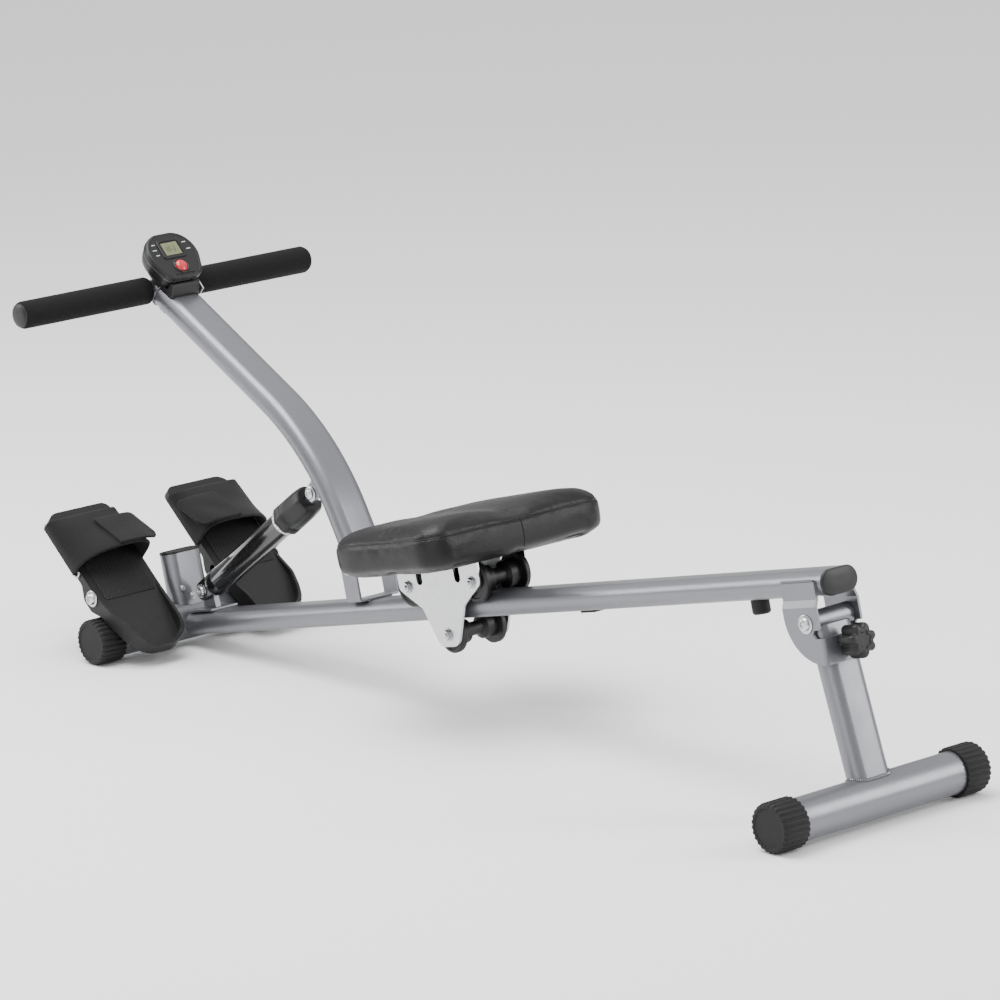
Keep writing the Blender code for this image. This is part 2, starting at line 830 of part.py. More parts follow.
# ---- rear leg, folding forwards under the rail about its bolt
leg_pivot = frame("leg_pivot", machine, leg_pivot_spot, (0, -LEG_RAKE, 0))
rear_foot = frame("rear_foot", leg_pivot, (0, 0, -leg_length), (0, LEG_RAKE, 0))
foot_tube("rear_stabilizer_tube", rear_foot, (0, 0, 0))
foot_cap("rear_cap_left", rear_foot, (0, 0, 0), -1)
foot_cap("rear_cap_right", rear_foot, (0, 0, 0), 1)
leg_outline = upright(stadium(LEG_WIDTH, LEG_DEPTH))
leg_inside = upright(stadium(LEG_WIDTH - 2 * LEG_WALL, LEG_DEPTH - 2 * LEG_WALL))
leg_tube = node(
    "leg_tube",
    pipe("Z", leg_outline, leg_inside, -leg_length, -LEG_START),
    silver_paint,
    leg_pivot,
)
shape_with(
    leg_tube,
    "DIFFERENCE",
    bore("leg_top_cope", LEG_SLEEVE_RADIUS + GAP, COPE_REACH, leg_pivot, (0, 0, 0)),
    bore("leg_foot_cope", CAP_BORE, COPE_REACH, leg_pivot, (0, 0, -leg_length)),
)
node(
    "leg_pivot_sleeve",
    pipe(
        "Y",
        circle(LEG_SLEEVE_RADIUS),
        circle(leg_bore_radius),
        -LEG_SLEEVE_HALF,
        LEG_SLEEVE_HALF,
    ),
    silver_paint,
    leg_pivot,
)

# ---- lock knob and its screw, turning together about the rail's direction
leg_to_rail = LEG_RAKE - RAIL_ANGLE
leg_rear_at_lock = (
    LEG_PIVOT_ALONG
    + (LOCK_DROP - LEG_PIVOT_DROP) * math.tan(leg_to_rail)
    + LEG_DEPTH / 2 / math.cos(leg_to_rail)
)
screw_tip = leg_rear_at_lock + GAP + LOCK_SCREW_RADIUS * math.tan(leg_to_rail) - bracket_rear
screw_end = LOCK_STANDOFF + LOCK_LENGTH * 0.5
node(
    "lock_screw",
    turned(
        "X",
        [(LOCK_SCREW_RADIUS, screw_tip), (LOCK_SCREW_RADIUS, screw_end)],
        PIN_STEPS,
    ),
    bright_steel,
    rail_line,
    lock_at,
)
lock_rim = lobed(LOCK_RADIUS, LOCK_LOBE_DEPTH, LOCK_LOBES, 5)
lock_points = len(lock_rim)
lock_hub = circle(0.010, lock_points)
lock_hole = circle(LOCK_SCREW_RADIUS + GAP, lock_points)
node(
    "lock_knob",
    stack(
        "X",
        [
            (lock_hole, screw_end + GAP),
            (lock_hole, 0.0015),
            (lock_hub, 0.0015),
            (lock_hub, LOCK_STANDOFF),
            (scaled(lock_rim, 0.86), LOCK_STANDOFF),
            (lock_rim, LOCK_STANDOFF + 0.005),
            (lock_rim, LOCK_STANDOFF + LOCK_LENGTH - 0.007),
            (scaled(lock_rim, 0.93), LOCK_STANDOFF + LOCK_LENGTH - 0.003),
            (scaled(lock_rim, 0.72), LOCK_STANDOFF + LOCK_LENGTH),
        ],
    ),
    black_plastic,
    rail_line,
    lock_at,
)

# ---- handle arm
arm_pivot_spot = rail_point(ARM_PIVOT_ALONG, ARM_PIVOT_HEIGHT)
arm_pivot = frame("arm_pivot", machine, arm_pivot_spot, (0, -ARM_LEAN, 0))
bend_centre = Vector((-ARM_BEND_RADIUS, 0, ARM_LOWER))


def arm_station(distance_past_bend, turn):
    """Matrix of the arm's cross-section, turned through part of the bend."""
    place_on_bend = Matrix.Translation(bend_centre) @ Matrix.Rotation(-turn, 4, "Y")
    out = Matrix.Translation(Vector((ARM_BEND_RADIUS, 0, distance_past_bend)))
    return place_on_bend @ out


def arm_stations():
    stations = [Matrix.Translation(Vector((0, 0, ARM_START)))]
    for step in range(ARM_BEND_STEPS + 1):
        stations.append(arm_station(0, ARM_BEND * step / ARM_BEND_STEPS))
    stations.append(arm_station(ARM_UPPER, ARM_BEND))
    return stations


def arm_rings(outline):
    return [[m @ Vector((u, v, 0)) for u, v in outline] for m in arm_stations()]


arm_outline = upright(stadium(ARM_WIDTH, ARM_DEPTH))
arm_inside = upright(stadium(ARM_WIDTH - 2 * ARM_WALL, ARM_DEPTH - 2 * ARM_WALL))
arm_tube = node(
    "arm_tube",
    loft(arm_rings(arm_outline) + arm_rings(arm_inside)[::-1], closed=True),
    silver_paint,
    arm_pivot,
)
arm_top_at = arm_station(ARM_UPPER, ARM_BEND).translation
arm_top = frame("arm_top", arm_pivot, arm_top_at, (0, math.pi / 2 - ARM_BEND, 0))
shape_with(
    arm_tube,
    "DIFFERENCE",
    bore("arm_sleeve_cope", ARM_SLEEVE_RADIUS + GAP, COPE_REACH, arm_pivot, (0, 0, 0)),
    bore("arm_bar_cope", BAR_RADIUS + GAP, COPE_REACH, arm_top, (0, 0, 0)),
)
arm_sleeve_half = arm_cheek_inner - SIDE_CLEARANCE
node(
    "arm_pivot_sleeve",
    pipe(
        "Y",
        circle(ARM_SLEEVE_RADIUS),
        circle(arm_bore_radius),
        -arm_sleeve_half,
        arm_sleeve_half,
    ),
    silver_paint,
    arm_pivot,
)

# ---- handlebar and grips
node(
    "handlebar_tube",
    pipe("Y", circle(BAR_RADIUS), circle(BAR_RADIUS - BAR_WALL), -BAR_HALF, BAR_HALF),
    silver_paint,
    arm_top,
)
grip_bore = BAR_RADIUS + GAP
for side, word in ((-1, "left"), (1, "right")):
    turn = (0, 0, 0 if side > 0 else math.pi)
    node(
        "grip_" + word,
        turned(
            "Y",
            [
                (grip_bore, GRIP_START),
                (GRIP_RADIUS - GRIP_EDGE, GRIP_START),
                (GRIP_RADIUS - GRIP_EDGE * 0.3, GRIP_START + GRIP_EDGE * 0.3),
                (GRIP_RADIUS, GRIP_START + GRIP_EDGE),
                (GRIP_RADIUS, BAR_HALF - GRIP_EDGE),
                (GRIP_RADIUS - GRIP_EDGE * 0.3, BAR_HALF - GRIP_EDGE * 0.3),
                (GRIP_RADIUS - GRIP_EDGE, BAR_HALF),
                (grip_bore, BAR_HALF),
            ],
            24,
            closed=True,
        ),
        foam,
        arm_top,
        rotation=turn,
    )
    plug_stem = BAR_RADIUS - BAR_WALL - GAP
    plug_seat = BAR_HALF + GAP
    node(
        "grip_plug_" + word,
        turned(
            "Y",
            [
                (plug_stem, plug_seat - PLUG_STEM),
                (plug_stem, plug_seat),
                (PLUG_HEAD_RADIUS, plug_seat),
                (PLUG_HEAD_RADIUS, plug_seat + PLUG_HEAD * 0.5),
                (PLUG_HEAD_RADIUS - 0.003, plug_seat + PLUG_HEAD),
            ],
            20,
        ),
        black_plastic,
        arm_top,
        rotation=turn,
    )

# ---- console
console = frame(
    "console_frame", arm_top, (CONSOLE_ALONG, 0, CONSOLE_ABOVE), (0, CONSOLE_TILT, 0)
)
console_outline = rounded(
    [
        (-CONSOLE_TOP, -CONSOLE_HALF_TOP, 0.020),
        (0.004, -CONSOLE_HALF, 0.030),
        (CONSOLE_BOTTOM, -CONSOLE_HALF_BOTTOM, 0.010),
        (CONSOLE_BOTTOM, CONSOLE_HALF_BOTTOM, 0.010),
        (0.004, CONSOLE_HALF, 0.030),
        (-CONSOLE_TOP, CONSOLE_HALF_TOP, 0.020),
    ]
)
console_middle = ((CONSOLE_BOTTOM - CONSOLE_TOP) / 2, 0)
housing = node(
    "console_housing",
    stack(
        "Z",
        [
            (scaled(console_outline, 0.74, console_middle), -CONSOLE_DEPTH),
            (scaled(console_outline, 0.90, console_middle), -CONSOLE_DEPTH + 0.005),
            (scaled(console_outline, 0.97, console_middle), -0.010),
            (console_outline, -0.008),
            (console_outline, -0.002),
            (scaled(console_outline, 0.96, console_middle), 0),
        ],
    ),
    black_plastic,
    console,
)
button_at = (BUTTON_ALONG, 0, 0)
well_radius = BUTTON_RADIUS + GAP
shape_with(
    housing,
    "DIFFERENCE",
    helper(
        "display_window",
        box((DISPLAY_HEIGHT, DISPLAY_WIDTH, 2 * DISPLAY_DEPTH)),
        console,
    ),
    helper(
        "button_well",
        turned("Z", [(well_radius, -BUTTON_WELL), (well_radius, 0.01)], 24),
        console,
        button_at,
    ),
)
node(
    "console_lens",
    box((DISPLAY_HEIGHT - 2 * GAP, DISPLAY_WIDTH - 2 * GAP, DISPLAY_DEPTH - 2 * GAP)),
    display_green,
    console,
    (0, 0, -DISPLAY_DEPTH / 2 - GAP / 2),
)
button_foot = -BUTTON_WELL + BUTTON_TRAVEL + GAP
node(
    "reset_button",
    turned(
        "Z",
        [
            (BUTTON_RADIUS, button_foot),
            (BUTTON_RADIUS, BUTTON_RISE * 0.35),
            (BUTTON_RADIUS * 0.86, BUTTON_RISE * 0.75),
            (BUTTON_RADIUS * 0.5, BUTTON_RISE),
        ],
        24,
    ),
    red_plastic,
    console,
    button_at,
)
neck_top = -CONSOLE_DEPTH - GAP
neck_lip = CONSOLE_BOTTOM + 2 * GAP
neck = node(
    "console_bracket",
    prism(
        "Y",
        [
            (-0.004, neck_top),
            (neck_lip, neck_top),
            (neck_lip, -0.010),
            (neck_lip + 0.004, -0.010),
            (neck_lip + 0.014, -0.0225),
            (neck_lip + 0.010, -0.040),
            (-0.004, -0.040),
        ],
        -NECK_HALF,
        NECK_HALF,
    ),
    black_plastic,
    console,
)
arm_envelope = [
    (v, u) for u, v in stadium(ARM_WIDTH + 2 * GAP, ARM_DEPTH + 2 * GAP, END_STEPS)
]
shape_with(
    neck,
    "DIFFERENCE",
    helper(
        "neck_arm_cut",
        prism("X", [(v, u) for u, v in arm_envelope], -0.004, 0.12),
        arm_top,
    ),
    bore("neck_bar_cut", BAR_RADIUS + GAP, COPE_REACH, arm_top, (0, 0, 0)),
)
underside = -ARM_DEPTH / 2 - GAP
node(
    "sensor_plug",
    prism(
        "Y",
        [
            (0.009, underside),
            (0.026, underside),
            (0.020, underside - 0.008),
            (0.012, underside - 0.013),
            (0.009, underside - 0.013),
        ],
        -0.009,
        0.009,
    ),
    black_plastic,
    arm_top,
)

# ---- ear on the arm for the cylinder's rod
arm_bend = frame("arm_bend", arm_pivot, bend_centre, (0, -EAR_ANGLE, 0))
arm_front_radius = ARM_BEND_RADIUS - ARM_DEPTH / 2
ear_base = math.sqrt(arm_front_radius**2 - (EAR_LENGTH / 2) ** 2) - GAP
ear_pin_radius = arm_front_radius - EAR_REACH
ear_outer = EAR_INNER + BRACKET_SHEET
ear_tip = ear_pin_radius - EAR_TIP_RADIUS
ear_profile = rounded(
    [
        (ear_tip, -ear_outer, 0),
        (ear_base, -ear_outer, 0.003),
        (ear_base, ear_outer, 0.003),
        (ear_tip, ear_outer, 0),
        (ear_tip, EAR_INNER, 0),
        (ear_base - BRACKET_SHEET, EAR_INNER, 0.0005),
        (ear_base - BRACKET_SHEET, -EAR_INNER, 0.0005),
        (ear_tip, -EAR_INNER, 0),
    ]
)
ear = node(
    "cylinder_ear",
    prism("Z", ear_profile, -EAR_LENGTH / 2, EAR_LENGTH / 2),
    silver_paint,
    arm_bend,
)
ear_side = [(ear_base + 0.001, -EAR_LENGTH / 2), (ear_base + 0.001, EAR_LENGTH / 2)]
for step in range(13):
    turn = math.radians(105 + 150 * step / 12)
    ear_side.append(
        (
            ear_pin_radius + EAR_TIP_RADIUS * math.cos(turn),
            EAR_TIP_RADIUS * math.sin(turn),
        )
    )
ear_pin_at = (ear_pin_radius, 0, 0)
shape_with(
    ear,
    "INTERSECT",
    helper("ear_side", prism("Y", ear_side, -COPE_REACH, COPE_REACH), arm_bend),
)
pin_bore = CYLINDER_PIN_RADIUS + PIN_CLEARANCE
shape_with(ear, "DIFFERENCE", bore("ear_bore", pin_bore, COPE_REACH, arm_bend, ear_pin_at))
bolt(
    "cylinder_ear_bolt",
    arm_bend,
    ear_pin_at,
    CYLINDER_PIN_RADIUS,
    ear_outer + GAP,
    ear_outer + GAP,
    0.0075,
    0.0045,
)

# ---- hydraulic cylinder: its length and angle follow from its two pins
low_pin = rail_point(CYLINDER_ALONG, CYLINDER_HEIGHT)
arm_to_machine = Matrix.Translation(arm_pivot_spot) @ Matrix.Rotation(-ARM_LEAN, 4, "Y")
bend_to_arm = Matrix.Translation(bend_centre) @ Matrix.Rotation(-EAR_ANGLE, 4, "Y")
high_pin = arm_to_machine @ bend_to_arm @ Vector(ear_pin_at)
cylinder_length = (high_pin - low_pin).length
cylinder_angle = math.atan2(high_pin.z - low_pin.z, high_pin.x - low_pin.x)
cylinder_line = frame("cylinder_line", machine, low_pin, (0, -cylinder_angle, 0))

cylinder_base = node(
    "cylinder_base_bracket",
    box((BASE_PLATE_LENGTH, BASE_PLATE_WIDTH, BRACKET_SHEET), edge=0.0005),
    silver_paint,
    rail_line,
    (CYLINDER_ALONG, 0, rail_top + BRACKET_SHEET / 2),
)
lug_low = rail_top + BRACKET_SHEET / 2
lug_outline = [(-0.013, lug_low), (0.013, lug_low)]
for step in range(9):
    turn = math.radians(180 * step / 8)
    lug_outline.append(
        (LUG_RADIUS * math.cos(turn), CYLINDER_HEIGHT + LUG_RADIUS * math.sin(turn))
    )
shape_with(
    cylinder_base,
    "UNION",
    helper(
        "cylinder_lug",
        prism("Y", lug_outline, -LUG_HALF, LUG_HALF),
        rail_line,
        (CYLINDER_ALONG, 0, 0),
    ),
)
low_pin_at = (CYLINDER_ALONG, 0, CYLINDER_HEIGHT)
shape_with(
    cylinder_base, "DIFFERENCE", bore("lug_bore", pin_bore, COPE_REACH, rail_line, low_pin_at)
)
bolt(
    "cylinder_base_bolt",
    rail_line,
    low_pin_at,
    CYLINDER_PIN_RADIUS,
    FORK_HALF + GAP,
    FORK_HALF + GAP,
    0.0075,
    0.0045,
)

barrel = node(
    "cylinder_barrel",
    turned(
        "X",
        [
            (BARREL_BORE, BARREL_START + BARREL_FLOOR),
            (BARREL_BORE, BARREL_TOP - BARREL_HEAD),
            (ROD_RADIUS + PIN_CLEARANCE, BARREL_TOP - BARREL_HEAD),
            (ROD_RADIUS + PIN_CLEARANCE, BARREL_TOP),
            (BARREL_RADIUS - 0.001, BARREL_TOP),
            (BARREL_RADIUS, BARREL_TOP - 0.001),
            (BARREL_RADIUS, BARREL_START + 0.002),
            (BARREL_RADIUS - 0.002, BARREL_START),
        ],
        24,
    ),
    black_steel,
    cylinder_line,
)
fork_outline = rounded(
    [
        (-FORK_RADIUS, -FORK_RADIUS, FORK_RADIUS * 0.99),
        (BARREL_START + 0.004, -FORK_RADIUS, 0),
        (BARREL_START + 0.004, FORK_RADIUS, 0),
        (-FORK_RADIUS, FORK_RADIUS, FORK_RADIUS * 0.99),
    ],
    END_STEPS,
)
shape_with(
    barrel,
    "UNION",
    helper(
        "cylinder_fork",
        prism("Y", fork_outline, -FORK_HALF, FORK_HALF),
        cylinder_line,
    ),
)
slot_half = LUG_HALF + GAP
slot_end = LUG_RADIUS + 0.003
shape_with(
    barrel,
    "DIFFERENCE",
    helper(
        "fork_slot",
        box((slot_end + 0.03, 2 * slot_half, 0.06), (slot_end / 2 - 0.015, 0, 0)),
        cylinder_line,
    ),
    bore("fork_bore", pin_bore, COPE_REACH, cylinder_line, (0, 0, 0)),
)

sleeve_bore = BARREL_RADIUS + PIN_CLEARANCE
knob_start = BARREL_TOP - KNOB_SLEEVE
knob_end = knob_start + KNOB_LENGTH
scale_start = knob_start - GAP - SCALE_LENGTH
node(
    "scale_ring",
    pipe(
        "X",
        circle(SCALE_RADIUS),
        circle(sleeve_bore),
        scale_start,
        knob_start - GAP,
    ),
    white_print,
    cylinder_line,
)
knob_rim = lobed(KNOB_RADIUS, KNOB_LOBE_DEPTH, KNOB_LOBES, 4)
knob_points = len(knob_rim)
knob_throat = circle(ROD_RADIUS + 2 * PIN_CLEARANCE, knob_points)
knob_sleeve = circle(sleeve_bore, knob_points)
node(
    "resistance_knob",
    stack(
        "X",
        [
            (knob_sleeve, knob_start),
            (scaled(knob_rim, 0.95), knob_start),
            (knob_rim, knob_start + 0.002),
            (scaled(knob_rim, 0.97), knob_start + 0.036),
            (scaled(knob_rim, 0.90), knob_start + 0.050),
            (scaled(knob_rim, 0.76), knob_end - 0.003),
            (scaled(knob_rim, 0.60), knob_end),
            (knob_throat, knob_end),
            (knob_throat, BARREL_TOP + GAP),
            (knob_sleeve, BARREL_TOP + GAP),
        ],
        closed=True,
    ),
    black_plastic,
    cylinder_line,
)

# ---- piston rod, sliding along the cylinder; its notched tip takes the ear's pin
rod_line = frame("rod_line", cylinder_line)
tongue_end = cylinder_length + TONGUE_PAST_PIN
tongue_start = tongue_end - TONGUE_LENGTH
piston_radius = BARREL_BORE - PISTON_CLEARANCE
rod = node(
    "piston_rod",
    turned(
        "X",
        [
            (piston_radius, PISTON_START),
            (piston_radius, PISTON_START + PISTON_LENGTH),
            (ROD_RADIUS, PISTON_START + PISTON_LENGTH),
            (ROD_RADIUS, tongue_start + 0.002),
        ],
        24,
    ),
    chrome,
    rod_line,
)
tongue_middle = ((tongue_start + tongue_end) / 2, 0, 0)
notch_middle = cylinder_length + (NOTCH_AHEAD - NOTCH_BEHIND) / 2
shape_with(
    rod,
    "UNION",
    helper(
        "rod_tongue",
        box((TONGUE_LENGTH, 2 * TONGUE_HALF, 2 * TONGUE_DEPTH), tongue_middle, 0.001),
        rod_line,
    ),
)
notch_floor = CYLINDER_PIN_RADIUS + 2 * PIN_CLEARANCE
shape_with(
    rod,
    "DIFFERENCE",
    helper(
        "rod_notch",
        box(
            (NOTCH_AHEAD + NOTCH_BEHIND, 0.03, 0.03),
            (notch_middle, 0, 0.015 - notch_floor),
        ),
        rod_line,
    ),
)

# ---- pedals on their axle
axle_reach = PEDAL_OUTER + 2 * GAP
node(
    "pedal_axle",
    turned(
        "Y",
        [
            (AXLE_HEAD_RADIUS * 0.6, -axle_reach - AXLE_HEAD_LENGTH),
            (AXLE_HEAD_RADIUS, -axle_reach - AXLE_HEAD_LENGTH * 0.6),
            (AXLE_HEAD_RADIUS, -axle_reach),
            (PEDAL_AXLE_RADIUS, -axle_reach),
            (PEDAL_AXLE_RADIUS, axle_reach),
            (AXLE_HEAD_RADIUS, axle_reach),
            (AXLE_HEAD_RADIUS, axle_reach + AXLE_HEAD_LENGTH * 0.6),
            (AXLE_HEAD_RADIUS * 0.6, axle_reach + AXLE_HEAD_LENGTH),
        ],
        24,
    ),
    bright_steel,
    machine,
    pedal_axle_at,
)


def pedal_plan(side, inset=0.0):
    """Pedal outline in (towards the heel, across)."""
    outer = PEDAL_OUTER - inset
    inner = PEDAL_INNER + inset
    heel_outer = PEDAL_HEEL_OUTER - inset
    heel_inner = PEDAL_HEEL_INNER + inset
    toe = -PEDAL_TOE + inset
    heel = PEDAL_HEEL - inset
    corners = [
        (toe, inner, 0.012),
        (0.0, inner, 0),
        (heel, heel_inner, 0.028),
        (heel, heel_outer, 0.034),
        (0.040, outer, 0.030),
        (toe, outer, 0.020),
    ]
    if side < 0:
        corners = [(u, -v, r) for u, v, r in corners[::-1]]
    return rounded(corners, 6)


def pedal_side():
    """Side view in (towards the heel, above the axle): boss, sole and raised rim."""
    return rounded(
        [
            (-PEDAL_TOE - 0.01, pedal_sole, 0),
            (-PEDAL_BOSS_RADIUS * 1.6, pedal_sole, 0.004),
            (-PEDAL_BOSS_RADIUS * 0.6, -PEDAL_BOSS_RADIUS, 0.008),
            (PEDAL_BOSS_RADIUS * 0.6, -PEDAL_BOSS_RADIUS, 0.008),
            (PEDAL_BOSS_RADIUS * 1.9, pedal_sole, 0.004),
            (PEDAL_HEEL + 0.01, pedal_sole, 0),
            (PEDAL_HEEL + 0.01, PEDAL_TOP - 0.002, 0),
            (PEDAL_HEEL - 0.012, PEDAL_TOP + PEDAL_RIM_RISE, 0.012),
            (PEDAL_HEEL - 0.036, PEDAL_TOP + PEDAL_RIM_RISE, 0.010),
            (0.0, PEDAL_TOP, 0.010),
            (-PEDAL_TOE - 0.01, PEDAL_TOP, 0),
        ]
    )


# The sole clears the foot cap below it.
to_foot = Vector((0, 0, CAP_RADIUS)) - pedal_axle_at
cap_below = -(to_foot.x * math.sin(PEDAL_ANGLE) + to_foot.z * math.cos(PEDAL_ANGLE))
rib_crest = CAP_RADIUS / math.cos(math.pi / CAP_RIBS * CAP_RIB_TOP)
pedal_sole = rib_crest + 2 * GAP - cap_below


def pedal(name, side):
    pivot = frame(name + "_pivot", machine, pedal_axle_at, (0, PEDAL_ANGLE, 0))
    high = PEDAL_TOP + PEDAL_RIM_RISE + 0.004
    low = -PEDAL_BOSS_RADIUS - 0.002
    plate = node(name, prism("Z", pedal_plan(side), low, high), black_plastic, pivot)
    side_view = helper(
        name + "_side",
        prism("Y", pedal_side(), -PEDAL_OUTER - 0.02, PEDAL_OUTER + 0.02),
        pivot,
    )
    shape_with(plate, "INTERSECT", side_view)
    tray = helper(
        name + "_tray",
        prism("Z", pedal_plan(side, PEDAL_WALL), PEDAL_TOP, high + 0.01),
        pivot,
    )
    inside = pedal_plan(side, PEDAL_WALL)
    skin = PEDAL_TOP - PEDAL_SKIN
    underside_cut = helper(
        name + "_underside", prism("Z", inside, low - 0.01, skin), pivot
    )
    tunnel_top = skin + 0.001
    tunnel_tall = tunnel_top + PEDAL_BOSS_RADIUS
    tunnel = helper(
        name + "_tunnel",
        box(
            (2 * PEDAL_TUNNEL, PEDAL_OUTER - PEDAL_INNER - 0.001, tunnel_tall),
            (0, side * (PEDAL_OUTER + PEDAL_INNER) / 2, tunnel_top - tunnel_tall / 2),
        ),
        pivot,
    )
    shape_with(plate, "DIFFERENCE", tray, underside_cut)
    shape_with(plate, "UNION", tunnel)
    shape_with(
        plate,
        "DIFFERENCE",
        bore(name + "_bore", axle_bore_radius, 0.2, pivot, (0, 0, 0)),
    )
    return pivot


def band_outline(side, path, thickness):
    """Outline of a strip of webbing: a (across, above) path thickened outwards."""
    points = [Vector(point) for point in path]
    outside = []
    for index, point in enumerate(points):
        before = points[max(index - 1, 0)]
        after = points[min(index + 1, len(points) - 1)]
        along = (after - before).normalized()
        outside.append(point + Vector((along.y, -along.x)) * thickness)
    return [(side * p.x, p.y) for p in points + outside[::-1]]


def strap_height(u, share_at_toe, share_at_heel):
    """Height over the pedal at u of a strap that rises evenly from its toe edge."""
    along = (u - STRAP_TOE_START) / (STRAP_TOE_END - STRAP_TOE_START)
    low = TOE_EDGE_RISE * share_at_toe
    high = HEEL_EDGE_RISE * share_at_heel
    return low + (high - low) * along


ARCH = (  # (share of the pedal's width, share of the rise at the toe edge, at the heel edge)
    (0.0, 0.0, 0.0),
    (0.0, 0.75, 0.30),
    (0.06, 0.92, 0.62),
    (0.22, 0.97, 0.86),
    (0.45, 1.0, 0.97),
    (0.72, 1.0, 1.0),
    (0.93, 0.97, 0.90),
    (1.0, 0.75, 0.62),
    (1.0, 0.0, 0.0),
)
FLAP = (  # (share of the flap's length, shares of the rise)
    (0.0, 1.0, 1.0),
    (0.30, 1.0, 1.0),
    (0.60, 1.0, 0.98),
    (0.80, 0.98, 0.92),
    (1.0, 0.94, 0.82),
)


def strap_band(side, outer, inner, u, foot):
    path = [(outer - (outer - inner) * v, foot + strap_height(u, a, b)) for v, a, b in ARCH]
    return band_outline(side, path, STRAP_THICKNESS)


def flap_band(side, inner, u, foot):
    start = inner + FLAP_OVERLAP
    length = FLAP_OVERLAP + FLAP_TAIL
    seat = foot + STRAP_THICKNESS + 2 * GAP
    path = [(start - length * v, seat + strap_height(u, a, b)) for v, a, b in FLAP]
    return band_outline(side, path, STRAP_THICKNESS)


def wire_ring(name, pivot, side):
    """Rectangular wire loop on the pedal's outer side, for the strap's end."""
    curve = bpy.data.curves.new(name, "CURVE")
    curve.dimensions = "3D"
    curve.bevel_depth = RING_WIRE
    curve.bevel_resolution = 1
    curve.resolution_u = 1
    low = PEDAL_TOP - 0.010
    high = PEDAL_TOP - 0.001
    start = STRAP_TOE_START - 0.004
    end = STRAP_TOE_END + 0.004
    across = side * (PEDAL_OUTER + RING_WIRE + GAP)
    points = rounded(
        [(start, low, 0.003), (end, low, 0.003), (end, high, 0.003), (start, high, 0.003)], 3
    )
    spline = curve.splines.new("POLY")
    spline.points.add(len(points) - 1)
    for point, (u, w) in zip(spline.points, points):
        point.co = (u, across, w, 1)
    spline.use_cyclic_u = True
    obj = bpy.data.objects.new(name, curve)
    bpy.context.scene.collection.objects.link(obj)
    obj.parent = pivot
    curve.materials.append(bright_steel)
    return obj


for side, word in ((-1, "left"), (1, "right")):
    pivot = pedal("pedal_" + word, side)
    wire_ring("strap_ring_" + word, pivot, side)
    strap_outer = PEDAL_OUTER + 2 * RING_WIRE + 2 * GAP
    strap_inner = PEDAL_INNER - GAP
    strap_foot = PEDAL_TOP - 0.008
    strap_ends = [
        (strap_band(side, strap_outer, strap_inner, u, strap_foot), u)
        for u in (STRAP_TOE_START, STRAP_TOE_END)
    ]
    node("toe_strap_" + word, stack("X", strap_ends), webbing, pivot)
    flap_ends = [
        (flap_band(side, strap_inner, u, strap_foot), u) for u in (FLAP_START, FLAP_END)
    ]
    node("strap_flap_" + word, stack("X", flap_ends), webbing, pivot)

# ---- seat carriage
carriage = frame("carriage", rail_line, (CARRIAGE_ALONG, 0, 0))
upper_axle = UPPER_AXLE_HEIGHT
lower_axle = -RAIL_HEIGHT / 2 - GAP - LOWER_ROLLER_RADIUS
flange_inner = RAIL_WIDTH / 2 + GAP
flange_outer = flange_inner + FLANGE_WIDTH
plate_inner = flange_outer + PLATE_CLEARANCE
plate_outer = plate_inner + PLATE_SHEET
carriage_bore = CARRIAGE_PIN_RADIUS + PIN_CLEARANCE


def roller(name, at, core, flange):
    edge = 0.0012
    profile = [
        (carriage_bore, -flange_outer),
        (flange - edge, -flange_outer),
        (flange, -flange_outer + edge),
        (flange, -flange_inner),
        (core, -flange_inner),
        (core, -TREAD_START),
        (core - WAIST_DEPTH, -WAIST_HALF),
        (core - WAIST_DEPTH, WAIST_HALF),
        (core, TREAD_START),
        (core, flange_inner),
        (flange, flange_inner),
        (flange, flange_outer - edge),
        (flange - edge, flange_outer),
        (carriage_bore, flange_outer),
    ]
    return node(name, turned("Y", profile, 24, closed=True), black_plastic, carriage, at)


axles = (
    ("front", (-ROLLER_PITCH / 2, 0, upper_axle), UPPER_ROLLER_RADIUS, UPPER_FLANGE_RADIUS),
    ("rear", (ROLLER_PITCH / 2, 0, upper_axle), UPPER_ROLLER_RADIUS, UPPER_FLANGE_RADIUS),
    ("lower", (0, 0, lower_axle), LOWER_ROLLER_RADIUS, LOWER_FLANGE_RADIUS),
)
plate_profile = [
    (v, -w) for v, w in channel(plate_inner, PLATE_SHEET, -PLATE_TOP, 0.050, BRACKET_FOLD)
]
bracket = node(
    "carriage_bracket",
    prism("X", plate_profile, -PLATE_HALF_LENGTH - 0.002, PLATE_HALF_LENGTH + 0.002),
    bright_steel,
    carriage,
)
plate_foot = lower_axle - PLATE_FOOT_RADIUS
plate_side = rounded(
    [
        (-PLATE_HALF_LENGTH, PLATE_TOP + 0.001, 0),
        (-PLATE_HALF_LENGTH, PLATE_SHOULDER, 0.010),
        (-PLATE_WAIST, PLATE_WAIST_HEIGHT, 0.010),
        (-PLATE_FOOT_RADIUS * 1.15, plate_foot, PLATE_FOOT_RADIUS * 0.9),
        (PLATE_FOOT_RADIUS * 1.15, plate_foot, PLATE_FOOT_RADIUS * 0.9),
        (PLATE_WAIST, PLATE_WAIST_HEIGHT, 0.010),
        (PLATE_HALF_LENGTH, PLATE_SHOULDER, 0.010),
        (PLATE_HALF_LENGTH, PLATE_TOP + 0.001, 0),
    ],
    5,
)
shape_with(
    bracket,
    "INTERSECT",
    helper("plate_side", prism("Y", plate_side, -COPE_REACH, COPE_REACH), carriage),
)
